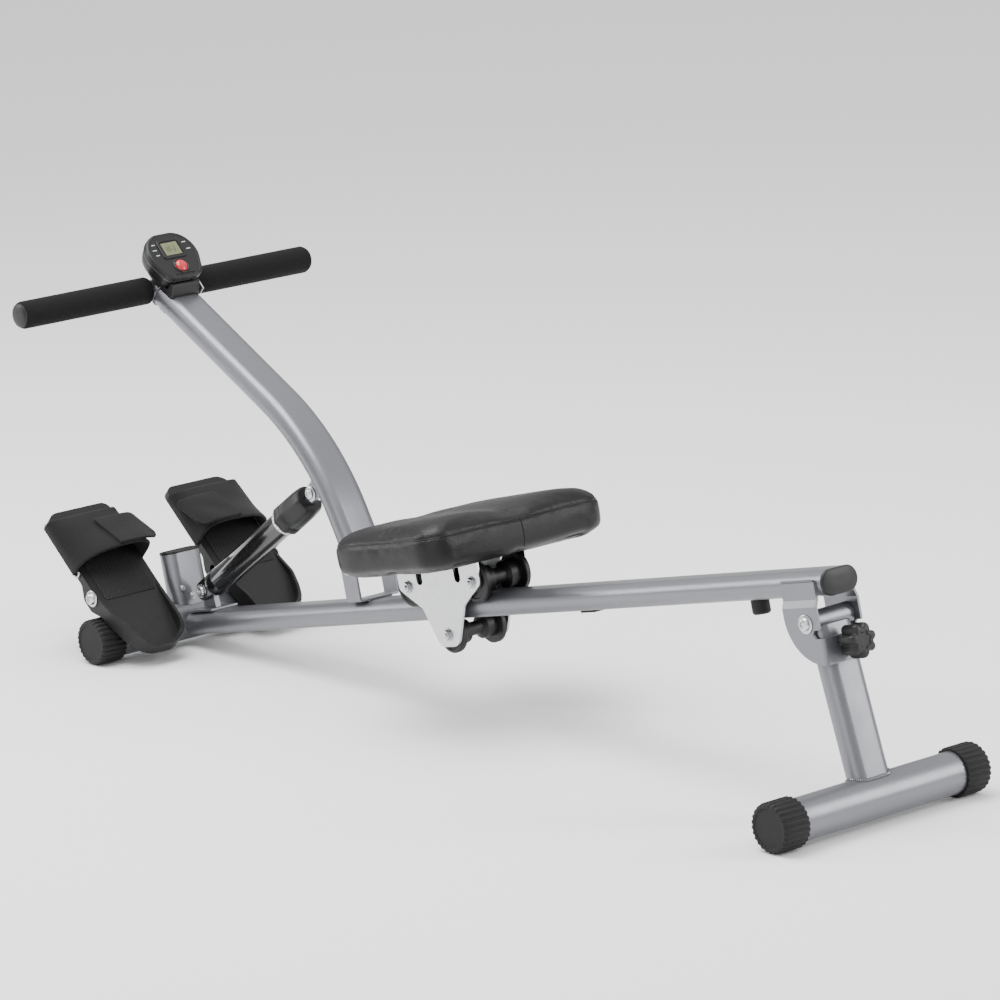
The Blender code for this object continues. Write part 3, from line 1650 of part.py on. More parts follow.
for side, word in ((-1, "front"), (1, "rear")):
    slot = upright(stadium(SLOT_TOP - SLOT_BOTTOM, SLOT_WIDTH))
    slot_tool = helper(
        "plate_slot_" + word,
        prism("Y", slot, -COPE_REACH, COPE_REACH),
        carriage,
        (side * SLOT_OFFSET, 0, (SLOT_TOP + SLOT_BOTTOM) / 2),
    )
    shape_with(bracket, "DIFFERENCE", slot_tool)
for word, at, core, flange in axles:
    shape_with(
        bracket,
        "DIFFERENCE",
        bore("axle_bore_" + word, carriage_bore, COPE_REACH, carriage, at),
    )
    roller("roller_" + word, at, core, flange)
    bolt(
        "roller_bolt_" + word,
        carriage,
        at,
        CARRIAGE_PIN_RADIUS,
        plate_outer + GAP,
        plate_outer + GAP,
        0.0068,
        0.0045,
    )

# ---- seat
seat_outline = rounded(
    [
        (-SEAT_FRONT, -SEAT_NOSE_HALF, 0.060),
        (-SEAT_SIDE_FRONT, -SEAT_HALF, 0.040),
        (SEAT_REAR, -SEAT_HALF, 0.034),
        (SEAT_REAR, SEAT_HALF, 0.034),
        (-SEAT_SIDE_FRONT, SEAT_HALF, 0.040),
        (-SEAT_FRONT, SEAT_NOSE_HALF, 0.060),
    ],
    5,
)
seat_middle = ((SEAT_REAR - SEAT_FRONT) / 2, 0)
board_outline = scaled(seat_outline, BOARD_SHARE, seat_middle)
pocket_outline = scaled(seat_outline, BOARD_SHARE + 2 * GAP / SEAT_HALF, seat_middle)
board_low = PLATE_TOP + GAP
board_high = board_low + BOARD_THICKNESS
node(
    "seat_board",
    prism("Z", board_outline, board_low, board_high),
    plywood,
    carriage,
)
seat_low = board_low + GAP
seat_levels = [
    (0.955, 0.0),
    (0.99, 0.06),
    (1.0, 0.20),
    (0.998, 0.62),
    (0.965, 0.82),
    (0.88, 0.94),
    (0.70, 0.99),
    (0.40, 1.0),
]
cushion = node(
    "seat_cushion",
    stack(
        "Z",
        [
            (scaled(seat_outline, share, seat_middle), seat_low + SEAT_THICKNESS * rise)
            for share, rise in seat_levels
        ],
    ),
    vinyl,
    carriage,
)
shape_with(
    cushion,
    "DIFFERENCE",
    helper(
        "board_pocket",
        prism("Z", pocket_outline, board_low - 0.01, board_high + GAP),
        carriage,
    ),
)
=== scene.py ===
"""Looks of a folding rowing machine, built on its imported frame. Metres, +Z up, floor at Z = 0."""

import json
import math

import bmesh
import bpy
from mathutils import Matrix, Vector, noise
from mathutils.bvhtree import BVHTree


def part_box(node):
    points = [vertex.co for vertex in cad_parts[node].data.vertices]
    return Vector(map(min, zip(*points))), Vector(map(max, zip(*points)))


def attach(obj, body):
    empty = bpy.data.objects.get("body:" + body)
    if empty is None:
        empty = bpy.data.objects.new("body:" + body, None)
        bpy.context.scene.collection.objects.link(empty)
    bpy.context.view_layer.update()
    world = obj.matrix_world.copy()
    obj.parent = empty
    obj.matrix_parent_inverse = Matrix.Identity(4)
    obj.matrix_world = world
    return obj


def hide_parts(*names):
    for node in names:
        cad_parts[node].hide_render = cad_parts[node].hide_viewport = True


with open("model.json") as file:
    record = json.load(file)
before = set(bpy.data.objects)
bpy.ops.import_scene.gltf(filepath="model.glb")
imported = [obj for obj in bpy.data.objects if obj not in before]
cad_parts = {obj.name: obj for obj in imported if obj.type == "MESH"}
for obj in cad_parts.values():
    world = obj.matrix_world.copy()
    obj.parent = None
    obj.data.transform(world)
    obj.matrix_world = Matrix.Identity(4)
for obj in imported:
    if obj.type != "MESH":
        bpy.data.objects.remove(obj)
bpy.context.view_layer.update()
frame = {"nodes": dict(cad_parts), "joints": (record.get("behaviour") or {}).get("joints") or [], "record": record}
scene = bpy.context.scene

# Sizes of the real machine, in metres
FOOT_RADIUS = 0.0255
FOOT_SPAN = 0.330
CAP_RADIUS = 0.030
CAP_LENGTH = 0.038
CAP_RIBS = 26
RAIL_ANGLE = math.radians(11.69)
RAIL_DROP = 0.0053
RAIL_WIDTH = 0.056
RAIL_HEIGHT = 0.030
RAIL_END = 1.2495
POST_ALONG = 0.0025
POST_WIDTH = 0.058
POST_DEPTH = 0.030
POST_TOP = 0.0943
ARM_PIVOT_ALONG = 0.394
ARM_LEAN = math.radians(29.5)
ARM_BEND = math.radians(32.2)
ARM_BEND_RADIUS = 0.330
ARM_LOWER = 0.0668
ARM_UPPER = 0.253
ARM_WIDTH = 0.057
ARM_DEPTH = 0.029
BAR_RADIUS = 0.0127
BAR_HALF = 0.231
GRIP_RADIUS = 0.0177
GRIP_START = 0.030
CYLINDER_ANGLE = math.radians(34.83)
BARREL_RADIUS = 0.017
BARREL_TOP = 0.215
KNOB_RADIUS = 0.022
KNOB_LENGTH = 0.060
PEDAL_ANGLE = math.radians(42)
PEDAL_OUTER = 0.150
PEDAL_INNER = 0.048
PEDAL_TOP = 0.008
STRAP_THICKNESS = 0.003
STRAP_START = -0.120
STRAP_END = -0.040
TOE_EDGE_RISE = 0.014
HEEL_EDGE_RISE = 0.046
FLAP_START = -0.100
FLAP_END = -0.042
FLAP_OVERLAP = 0.052
FLAP_TAIL = 0.012
STRAP_OUTSET = 0.0036
GAP = 0.0003
MOST_SWELL = 0.0045
CONSOLE_TILT = math.radians(16.7)
CARRIAGE_ALONG = 0.5793
LEG_RAKE = math.radians(18.1)
LEG_WIDTH = 0.056
LEG_DEPTH = 0.029
SEAT_LOW = 0.0626

# ---- camera, at standing eye height, off the rear end and to one side
azimuth = math.radians(49.49)
elevation = math.radians(13.23)
roll = math.radians(-2.64)
back = Vector(
    (
        math.sin(azimuth) * math.cos(elevation),
        -math.cos(azimuth) * math.cos(elevation),
        math.sin(elevation),
    )
)
right = Vector((math.cos(azimuth), math.sin(azimuth), 0))
up = back.cross(right)
lens = bpy.data.cameras.new("camera")
lens.lens = 192.18
lens.sensor_width = 36
lens.shift_x = -0.0109
lens.shift_y = -0.0030
lens.clip_end = 60
camera = bpy.data.objects.new("camera", lens)
scene.collection.objects.link(camera)
camera_x = right * math.cos(roll) + up * math.sin(roll)
camera_y = -right * math.sin(roll) + up * math.cos(roll)
turned_camera = Matrix((camera_x, camera_y, back)).transposed().to_4x4()
camera.matrix_world = Matrix.Translation((4.8451, -4.0849, 1.7690)) @ turned_camera
scene.camera = camera


# ---- materials
def colour(code):
    """Linear colour from an sRGB hex code."""
    channels = [int(code[i : i + 2], 16) / 255 for i in (1, 3, 5)]
    linear = [c / 12.92 if c <= 0.04045 else ((c + 0.055) / 1.055) ** 2.4 for c in channels]
    return (*linear, 1.0)


def add(tree, kind, inputs=None, **settings):
    """New node with its settings; an input is a constant, or a socket to link from."""
    made = tree.nodes.new(kind)
    for key, value in settings.items():
        setattr(made, key, value)
    for key, value in (inputs or {}).items():
        if isinstance(value, bpy.types.NodeSocket):
            tree.links.new(value, made.inputs[key])
        else:
            made.inputs[key].default_value = value
    return made


def start(name, base, roughness, metallic=0.0, **constants):
    """Principled material and its object-space coordinates, in metres."""
    made = bpy.data.materials.new(name)
    made.use_nodes = True
    tree = made.node_tree
    shader = tree.nodes["Principled BSDF"]
    shader.inputs["Base Color"].default_value = colour(base)
    shader.inputs["Roughness"].default_value = roughness
    shader.inputs["Metallic"].default_value = metallic
    for key, value in constants.items():
        shader.inputs[key.replace("_", " ")].default_value = value
    place = add(tree, "ShaderNodeTexCoord").outputs["Object"]
    return made, tree, shader, place


def surface(tree, shader, tint=None, gloss=None, relief=None):
    """Drives colour by (pattern, low, high), roughness by the same, relief by (pattern, share, depth)."""
    if tint:
        pattern, low, high = tint
        mixed = add(
            tree,
            "ShaderNodeMix",
            {0: pattern, 6: colour(low), 7: colour(high)},
            data_type="RGBA",
        )
        tree.links.new(mixed.outputs[2], shader.inputs["Base Color"])
    if gloss:
        pattern, low, high = gloss
        spread = add(
            tree, "ShaderNodeMapRange", {"Value": pattern, "To Min": low, "To Max": high}
        )
        tree.links.new(spread.outputs["Result"], shader.inputs["Roughness"])
    if relief:
        pattern, share, depth = relief
        bump = add(
            tree, "ShaderNodeBump", {"Strength": share, "Distance": depth, "Height": pattern}
        )
        tree.links.new(bump.outputs["Normal"], shader.inputs["Normal"])


def powder_coat():
    """Silver powder coat over steel: fine metal flake in a lightly rippled satin film."""
    made, tree, shader, place = start(
        "silver_powder_coat_on_steel", "#74757a", 0.36, 0.75, Coat_Weight=0.15, Coat_Roughness=0.22
    )
    # Flake is 0.05 mm; drawn at 0.9 mm so that it still shows.
    flake = add(tree, "ShaderNodeTexNoise", {"Vector": place, "Scale": 1100, "Detail": 2})
    surface(tree, shader, tint=(flake.outputs["Fac"], "#66676c", "#848589"))
    film = add(tree, "ShaderNodeTexNoise", {"Vector": place, "Scale": 45, "Detail": 3})
    surface(tree, shader, gloss=(film.outputs["Fac"], 0.30, 0.43))
    # Orange peel of about 3 mm.
    peel = add(tree, "ShaderNodeTexNoise", {"Vector": place, "Scale": 330, "Detail": 1})
    surface(tree, shader, relief=(peel.outputs["Fac"], 0.10, 0.0003))
    return made


def zinc_plate():
    """Zinc-plated pressed steel: bright, cloudy and slightly blue, with rolling marks."""
    made, tree, shader, place = start("zinc_plated_pressed_steel", "#c9cacd", 0.27, 1.0)
    # Clouds of about 12 mm.
    cloud = add(tree, "ShaderNodeTexNoise", {"Vector": place, "Scale": 80, "Detail": 4})
    surface(tree, shader, gloss=(cloud.outputs["Fac"], 0.18, 0.40))
    surface(tree, shader, tint=(cloud.outputs["Fac"], "#b4b6bb", "#d6d6d6"))
    stretched = add(tree, "ShaderNodeMapping", {"Vector": place, "Scale": (1, 1, 14)})
    grain = add(
        tree,
        "ShaderNodeTexNoise",
        {"Vector": stretched.outputs["Vector"], "Scale": 260, "Detail": 2},
    )
    surface(tree, shader, relief=(grain.outputs["Fac"], 0.12, 0.0002))
    return made


def chrome_plate():
    """Hard chrome on a ground rod: mirror-like, with a faint haze in its gloss."""
    made, tree, shader, place = start("ground_hard_chrome", "#dcdde0", 0.08, 1.0)
    haze = add(tree, "ShaderNodeTexNoise", {"Vector": place, "Scale": 400, "Detail": 2})
    surface(tree, shader, gloss=(haze.outputs["Fac"], 0.05, 0.14))
    return made


def dark_finish(name, low, high, mottle_mm, rough, relief_mm, depth, kind="noise", **constants):
    """Dark surface with its own mottle, grain and gloss variation."""
    made, tree, shader, place = start(name, low, sum(rough) / 2, **constants)
    mottle = add(
        tree, "ShaderNodeTexNoise", {"Vector": place, "Scale": 1000 / mottle_mm, "Detail": 4}
    )
    surface(tree, shader, tint=(mottle.outputs["Fac"], low, high))
    surface(tree, shader, gloss=(mottle.outputs["Fac"], rough[0], rough[1]))
    if kind == "cells":
        grain = add(
            tree, "ShaderNodeTexVoronoi", {"Vector": place, "Scale": 1000 / relief_mm}
        ).outputs["Distance"]
    else:
        grain = add(
            tree,
            "ShaderNodeTexNoise",
            {"Vector": place, "Scale": 1000 / relief_mm, "Detail": 3},
        ).outputs["Fac"]
    surface(tree, shader, relief=(grain, 0.6, depth))
    return made


def woven(name, turn):
    """Polyester webbing: ribs across, yarns along, with a dull fibre sheen."""
    made, tree, shader, place = start(
        name, "#0c0b0b", 0.82, Specular_IOR_Level=0.2, Sheen_Weight=0.08
    )
    square = add(tree, "ShaderNodeMapping", {"Vector": place, "Rotation": (0, turn, 0)})
    # Ribs are 1 mm apart in the real webbing; drawn 1.6 mm apart so that they show.
    ribs = add(
        tree,
        "ShaderNodeTexWave",
        {"Vector": square.outputs["Vector"], "Scale": 196, "Distortion": 0.6, "Detail": 1},
        bands_direction="X",
    )
    yarns = add(
        tree,
        "ShaderNodeTexWave",
        {"Vector": square.outputs["Vector"], "Scale": 196, "Distortion": 0.6, "Detail": 1},
        bands_direction="Y",
    )
    weave = add(
        tree,
        "ShaderNodeMath",
        {0: ribs.outputs["Fac"], 1: yarns.outputs["Fac"]},
        operation="MULTIPLY",
    )
    fuzz = add(tree, "ShaderNodeTexNoise", {"Vector": place, "Scale": 900, "Detail": 2})
    surface(tree, shader, tint=(fuzz.outputs["Fac"], "#080808", "#131212"))
    surface(tree, shader, relief=(weave.outputs["Value"], 0.4, 0.0003))
    return made


def stained_plywood():
    """Birch plywood under black stain, its stretched grain just showing."""
    made, tree, shader, place = start("black_stained_plywood", "#141210", 0.7)
    stretched = add(tree, "ShaderNodeMapping", {"Vector": place, "Scale": (1, 9, 22)})
    grain = add(
        tree,
        "ShaderNodeTexNoise",
        {"Vector": stretched.outputs["Vector"], "Scale": 22, "Detail": 5},
    )
    surface(tree, shader, tint=(grain.outputs["Fac"], "#100e0c", "#1e1a16"))
    return made


def diamond_tread():
    """Polypropylene tread with diamonds of 4 mm."""
    made, tree, shader, place = start(
        "diamond_tread_polypropylene", "#131313", 0.55, Specular_IOR_Level=0.3
    )
    flat = add(tree, "ShaderNodeMapping", {"Vector": place, "Rotation": (0, -PEDAL_ANGLE, 0)})
    turned_flat = add(
        tree,
        "ShaderNodeMapping",
        {"Vector": flat.outputs["Vector"], "Rotation": (0, 0, math.radians(45))},
    )
    lines = [
        add(
            tree,
            "ShaderNodeTexWave",
            {"Vector": turned_flat.outputs["Vector"], "Scale": 78},
            bands_direction=way,
        ).outputs["Fac"]
        for way in ("X", "Y")
    ]
    grid = add(tree, "ShaderNodeMath", {0: lines[0], 1: lines[1]}, operation="MAXIMUM")
    surface(tree, shader, relief=(grid.outputs["Value"], 0.8, 0.0006))
    return made


silver = powder_coat()
tread = diamond_tread()
zinc = zinc_plate()
chrome = chrome_plate()
# Dipped enamel: near black and glossy, so lamps draw thin bright lines on it.
enamel = dark_finish(
    "black_gloss_enamel", "#0d0d0e", "#151516", 20, (0.10, 0.18), 6, 0.0001, Coat_Weight=0.6
)
# Moulded rubber: deep grey, dull, faintly dusty.
rubber = dark_finish(
    "moulded_black_rubber",
    "#0d0d0d",
    "#171717",
    9,
    (0.55, 0.72),
    1.2,
    0.0002,
    Specular_IOR_Level=0.3,
)
# Closed-cell foam: almost no shine, skin of small cells.
foam = dark_finish(
    "closed_cell_nitrile_foam",
    "#0b0a0a",
    "#171516",
    3,
    (0.80, 0.95),
    1.6,
    0.0006,
    "cells",
    Specular_IOR_Level=0.2,
)
# Injection-moulded ABS: spark-eroded grain of about 0.5 mm, soft sheen.
abs_black = dark_finish(
    "moulded_black_abs",
    "#101011",
    "#19191a",
    8,
    (0.38, 0.5),
    0.9,
    0.0001,
    Specular_IOR_Level=0.35,
)
# Polypropylene foot plate: coarser grain than the console's.
pedal_plastic = dark_finish(
    "moulded_black_polypropylene", "#101010", "#1c1c1c", 7, (0.42, 0.58), 2.2, 0.0005, Specular_IOR_Level=0.3
)
# Polyurethane-coated vinyl: leather grain of about 1.4 mm, broad soft highlights.
vinyl = dark_finish(
    "grained_black_vinyl",
    "#0b090a",
    "#141112",
    14,
    (0.34, 0.47),
    1.7,
    0.00035,
    "cells",
    Specular_IOR_Level=0.25,
    Coat_Weight=0.05,
    Coat_Roughness=0.3,
)
thread = dark_finish("black_polyester_thread", "#1d1b1b", "#2b2829", 2, (0.5, 0.7), 0.8, 0.0002)
webbing = woven("woven_black_webbing", PEDAL_ANGLE)
plywood = stained_plywood()
# Painted steel scale ring: matt white with dark printed marks.
scale_white = dark_finish("white_scale_enamel", "#d4d4d2", "#e4e4e2", 6, (0.35, 0.5), 3, 0.0001)
ink = dark_finish("black_scale_ink", "#101010", "#1a1a1a", 4, (0.5, 0.6), 2, 0.0001)
pale_mark = dark_finish("pale_grey_print", "#a9abae", "#c3c5c8", 3, (0.45, 0.6), 2, 0.0001)
# Tinted acrylic button: saturated red with a sharp highlight.
red = dark_finish(
    "gloss_red_acrylic", "#a8141b", "#bd2028", 8, (0.14, 0.22), 4, 0.0001, Coat_Weight=0.5
)
# Reflective LCD behind acrylic: grey-green and glossy.
display = dark_finish(
    "grey_green_liquid_crystal", "#5b5f40", "#686c4a", 9, (0.16, 0.24), 5, 0.0001, Coat_Weight=0.6
)
segment = dark_finish("dark_display_segment", "#2b2e20", "#34372a", 4, (0.2, 0.3), 3, 0.0001)
lens_tint = dark_finish(
    "smoked_bezel_print", "#3d3f42", "#4b4d50", 6, (0.25, 0.35), 4, 0.0001, Coat_Weight=0.3
)
slot_of = {
    silver: "silver_paint",
    zinc: "zinc",
    chrome: "chrome_rod",
    enamel: "black_enamel",
    rubber: "rubber_black",
    foam: "foam_black",
    abs_black: "plastic_black",
    pedal_plastic: "plastic_black",
    tread: "plastic_black",
    vinyl: "vinyl_black",
    thread: "vinyl_black",
    webbing: "webbing_black",
    plywood: "plywood",
    scale_white: "white_print",
    pale_mark: "white_print",
    ink: "plastic_black",
    red: "red_plastic",
    display: "display",
    segment: "display",
    lens_tint: "plastic_black",
}
finish_of = {slot: material for material, slot in reversed(list(slot_of.items()))}
for part in frame["record"]["subparts"]:
    cad_node = frame["nodes"][part["node"]]
    material = finish_of[part["material_slot"]]
    if part["node"].startswith("pedal_") and part["material_slot"] == "plastic_black":
        material = pedal_plastic
    cad_node.data.materials.clear()
    cad_node.data.materials.append(material)


# ---- places on the machine
def joint_at(name):
    return Vector(next(j["pos_m"] for j in frame["joints"] if j["name"] == name))


def leaning(origin, angle):
    """Frame at a point, its X axis raised from the level by an angle."""
    return Matrix.Translation(origin) @ Matrix.Rotation(-angle, 4, "Y")


def shifted(x, y, z):
    return Matrix.Translation((x, y, z))


IN_PLACE = Matrix.Identity(4)
QUARTER_TURN = Matrix.Rotation(math.pi / 2, 4, "Z")


def facing(axis):
    """Turns +Z, along which pieces are made, to face an axis such as "-Y"."""
    ways = {
        "+Z": Matrix.Identity(4),
        "-Z": Matrix.Rotation(math.pi, 4, "X"),
        "+X": Matrix.Rotation(math.pi / 2, 4, "Y"),
        "-X": Matrix.Rotation(-math.pi / 2, 4, "Y"),
        "+Y": Matrix.Rotation(-math.pi / 2, 4, "X"),
        "-Y": Matrix.Rotation(math.pi / 2, 4, "X"),
    }
    return ways[axis]


tube_low, tube_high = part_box("front_stabilizer_tube")
front_axis = (tube_low + tube_high) / 2
tube_low, tube_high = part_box("rear_stabilizer_tube")
rear_axis = (tube_low + tube_high) / 2
RAIL = leaning(front_axis - Vector((0, 0, RAIL_DROP)), RAIL_ANGLE)
POST = RAIL @ shifted(POST_ALONG, 0, 0)
ARM = leaning(joint_at("arm_swing"), ARM_LEAN)
bend_centre = Vector((-ARM_BEND_RADIUS, 0, ARM_LOWER))
BEND_END = ARM @ Matrix.Translation(bend_centre) @ Matrix.Rotation(-ARM_BEND, 4, "Y")
BAR = BEND_END @ shifted(ARM_BEND_RADIUS, 0, ARM_UPPER) @ Matrix.Rotation(math.pi / 2, 4, "Y")
CONSOLE = BAR @ shifted(-0.0087, 0, 0.0550) @ Matrix.Rotation(CONSOLE_TILT, 4, "Y")
CYLINDER = leaning(joint_at("barrel_tilt"), CYLINDER_ANGLE)
PEDAL = leaning(joint_at("left_pedal_tilt"), -PEDAL_ANGLE)
CARRIAGE = RAIL @ shifted(CARRIAGE_ALONG, 0, 0)
LEG = leaning(joint_at("rear_leg_fold"), LEG_RAKE)
LOCK = leaning(joint_at("lock_turn"), RAIL_ANGLE)


# ---- making pieces
def face_of(corners, segments=10):
    """Flat face through (u, v, cut) corners, each cut back and rounded."""
    bm = bmesh.new()
    cuts = [(bm.verts.new((u, v, 0)), cut) for u, v, cut in corners]
    bm.faces.new([vert for vert, cut in cuts])
    for vert, cut in cuts:
        if cut:
            bmesh.ops.bevel(
                bm,
                geom=[vert],
                offset=cut,
                segments=segments,
                profile=0.5,
                affect="VERTICES",
                material=-1,
            )
    return bm


def oval(width, height, segments=12):
    """Flat-sided oval face, width along X."""
    x = width / 2
    y = height / 2
    cut = height / 2 * 0.999
    return face_of([(-x, -y, cut), (x, -y, cut), (x, y, cut), (-x, y, cut)], segments)


def disc(radius, steps=64):
    bm = bmesh.new()
    bmesh.ops.create_circle(bm, cap_ends=True, radius=radius, segments=steps)
    return bm


def clear_inside(bm):
    """Deletes the faces that repeated extrusion leaves across the inside."""
    inner = [f for f in bm.faces if all(len(e.link_faces) > 2 for e in f.edges)]
    bmesh.ops.delete(bm, geom=inner, context="FACES_ONLY")


def raised(bm, levels, centre=(0, 0, 0)):
    """Extrudes the face through (height, size) levels; size is a share of its outline."""
    bm.faces.ensure_lookup_table()
    cap = bm.faces[0]
    middle = Vector(centre)
    first_height, first_size = levels[0]
    shape = Matrix.Diagonal((first_size, first_size, 1, 1))
    grow = Matrix.Translation(middle) @ shape @ Matrix.Translation(-middle)
    bmesh.ops.transform(bm, matrix=Matrix.Translation((0, 0, first_height)) @ grow, verts=cap.verts)
    height, size = first_height, first_size
    for next_height, next_size in levels[1:]:
        out = bmesh.ops.extrude_face_region(bm, geom=[cap])
        cap = next(part for part in out["geom"] if isinstance(part, bmesh.types.BMFace))
        share = next_size / size
        shape = Matrix.Diagonal((share, share, 1, 1))
        grow = Matrix.Translation(middle) @ shape @ Matrix.Translation(-middle)
        step = Matrix.Translation((0, 0, next_height - height))
        bmesh.ops.transform(bm, matrix=step @ grow, verts=cap.verts)
        height, size = next_height, next_size
    clear_inside(bm)
    bmesh.ops.recalc_face_normals(bm, faces=bm.faces)
    return bm


def turned(profile, steps=64):
    """Spins (radius, height) points about Z, closed through its bore or across its ends."""
    points = list(profile)
    through = points[0][0] > 0 and points[-1][0] > 0
    if not through and points[0][0] > 0:
        points.insert(0, (0, points[0][1]))
    if not through and points[-1][0] > 0:
        points.append((0, points[-1][1]))
    bm = bmesh.new()
    verts = [bm.verts.new((radius, 0, height)) for radius, height in points]
    edges = [bm.edges.new(pair) for pair in zip(verts, verts[1:])]
    if through:
        edges.append(bm.edges.new((verts[-1], verts[0])))
    bmesh.ops.spin(
        bm,
        geom=verts + edges,
        cent=(0, 0, 0),
        axis=(0, 0, 1),
        angle=math.tau,
        steps=steps,
        use_merge=True,
    )
    bmesh.ops.remove_doubles(bm, verts=bm.verts, dist=0.00002)
    bmesh.ops.recalc_face_normals(bm, faces=bm.faces)
    return bm


def sleeve_of(bore, radius, half, cut):
    """Pivot sleeve along Z, its outer ends cut back."""
    end = [(bore, -half), (radius - cut, -half), (radius, -half + 0.0004)]
    return turned(end + [(across, -height) for across, height in reversed(end)])


def block(size, centre=(0, 0, 0), edge=0.0):
    bm = bmesh.new()
    bmesh.ops.create_cube(bm, size=1)
    bmesh.ops.scale(bm, vec=size, verts=bm.verts)
    if edge:
        bmesh.ops.bevel(
            bm,
            geom=bm.edges[:],
            offset=edge,
            segments=3,
            profile=0.5,
            affect="EDGES",
            material=-1,
        )
    bmesh.ops.translate(bm, vec=centre, verts=bm.verts)
    return bm


def piece(name, bm, matrix, material, body, replaces=(), soften=0.0, steps=2):
    """Puts a shape in its place, rounds its sharp edges and fixes it to a body."""
    bmesh.ops.transform(bm, matrix=matrix, verts=bm.verts)
    if soften:
        sharp = [
            e
            for e in bm.edges
            if len(e.link_faces) == 2 and e.calc_face_angle(0) > math.radians(40)
        ]
        bmesh.ops.bevel(
            bm,
            geom=sharp,
            offset=soften,
            segments=steps,
            profile=0.5,
            affect="EDGES",
            clamp_overlap=True,
            material=-1,
        )
    bmesh.ops.recalc_face_normals(bm, faces=bm.faces)
    mesh = bpy.data.meshes.new(name)
    bm.to_mesh(mesh)
    bm.free()
    mesh.shade_smooth()
    mesh.set_sharp_from_angle(angle=math.radians(38))
    made = bpy.data.objects.new(name, mesh)
    scene.collection.objects.link(made)
    mesh.materials.append(material)
    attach(made, body)
    if replaces:
        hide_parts(*replaces)
    return made


def joined(shapes):
    """One bmesh of several: each is a shape, or a (shape, matrix) pair."""
    whole = bmesh.new()
    for shape in shapes:
        bm, matrix = shape if isinstance(shape, tuple) else (shape, IN_PLACE)
        bmesh.ops.transform(bm, matrix=matrix, verts=bm.verts)
        mesh = bpy.data.meshes.new("shape")
        bm.to_mesh(mesh)
        bm.free()
        whole.from_mesh(mesh)
        bpy.data.meshes.remove(mesh)
    return whole


def weld(name, points, radius, body):
    """Fillet weld: overlapping ripples along a path."""
    ripples = []
    spacing = radius * 0.8
    carried = 0.0
    for start_point, end_point in zip(points, points[1:]):
        run = Vector(end_point) - Vector(start_point)
        length = run.length
        along = run.to_track_quat("Z", "Y").to_matrix().to_4x4()
        at = carried
        while at < length:
            bm = bmesh.new()
            size = radius * (1 + 0.12 * noise.noise(Vector(start_point) * 900 + Vector((at * 700, 0, 0))))
            bmesh.ops.create_icosphere(bm, subdivisions=1, radius=size)
            bmesh.ops.scale(bm, vec=(1, 1, 0.75), verts=bm.verts)
            ripples.append((bm, Matrix.Translation(Vector(start_point) + run * (at / length)) @ along))
            at += spacing
        carried = at - length
    return piece(name, joined(ripples), IN_PLACE, silver, body)


def ring_path(width, depth, matrix, count=48, share=(0, 1), grow=0.0006):
    """Points around a flat-sided tube's outline in its section plane."""
    reach = max(width - depth, 0) / 2
    radius = depth / 2 + grow
    points = []
    for step in range(count + 1):
        turn = math.tau * (share[0] + (share[1] - share[0]) * step / count)
        x = radius * math.cos(turn) + math.copysign(reach, math.cos(turn))
        points.append(matrix @ Vector((x, radius * math.sin(turn), 0)))
    return points


def hexagon(across):
    radius = across / math.sqrt(3)
    return disc(radius, 6)


def cap_screw(name, matrix, body, head, tall, replaces=()):
    """Low dome screw with a hexagon socket, over a plain washer. +Z points out."""
    dome = turned(
        [
            (head * 0.42, tall * 0.62),
            (head * 0.46, tall),
            (head * 0.66, tall * 0.97),
            (head * 0.88, tall * 0.72),
            (head, tall * 0.30),
            (head, 0.0004),
            (0, 0.0004),
        ],
        40,
    )
    socket = raised(hexagon(head * 0.86), [(tall * 0.36, 1.0), (tall * 0.64, 1.0)])
    washer = turned(
        [(head * 0.6, 0.0011), (head * 1.28, 0.0011), (head * 1.36, 0.0007), (head * 1.36, 0)], 40
    )
    shape = joined(
        [(dome, shifted(0, 0, 0.001)), socket, washer]
    )
    return piece(name, shape, matrix, zinc, body, replaces)


def hex_nut(name, matrix, body, across, tall, material=None):
    nut = raised(
        hexagon(across),
        [(0.0008, 0.94), (0.0016, 1.0), (tall - 0.0008, 1.0), (tall, 0.92)],
    )
    thread_end = turned([(0, tall + 0.0022), (across * 0.24, tall + 0.0022), (across * 0.27, 0.001)], 24)
    washer = turned([(across * 0.3, 0.001), (across * 0.68, 0.001), (across * 0.7, 0)], 32)
    shape = joined([nut, thread_end, washer])
    return piece(name, shape, matrix, material or zinc, body)


# ---- feet
def foot_cap(name, centre, side, body, node):
    """Ribbed end cap with a rounded shoulder and a shallow dish in its face."""
    steps = 8
    bm = disc(CAP_RADIUS, CAP_RIBS * steps)
    for vert in bm.verts:
        turn = math.atan2(vert.co.y, vert.co.x) * CAP_RIBS
        wave = max(-1.0, min(1.0, 1.9 * math.cos(turn) + 0.3))
        shrink = 1 - 0.0016 / CAP_RADIUS * (1 - wave) / 2
        vert.co.x *= shrink
        vert.co.y *= shrink
    raised(
        bm,
        [
            (0, 0.975),
            (0.0012, 1.0),
            (CAP_LENGTH - 0.0048, 1.0),
            (CAP_LENGTH - 0.0022, 0.975),
            (CAP_LENGTH - 0.0006, 0.93),
            (CAP_LENGTH, 0.87),
            (CAP_LENGTH - 0.0003, 0.80),
            (CAP_LENGTH - 0.0012, 0.77),
            (CAP_LENGTH - 0.0012, 0.20),
        ],
    )
    start_y = side * (FOOT_SPAN / 2 - CAP_LENGTH)
    matrix = Matrix.Translation(centre + Vector((0, start_y, 0)))
    # The flat of one rib faces the floor.
    matrix = matrix @ facing("+Y" if side > 0 else "-Y") @ QUARTER_TURN
    return piece(name, bm, matrix, rubber, body, [node])


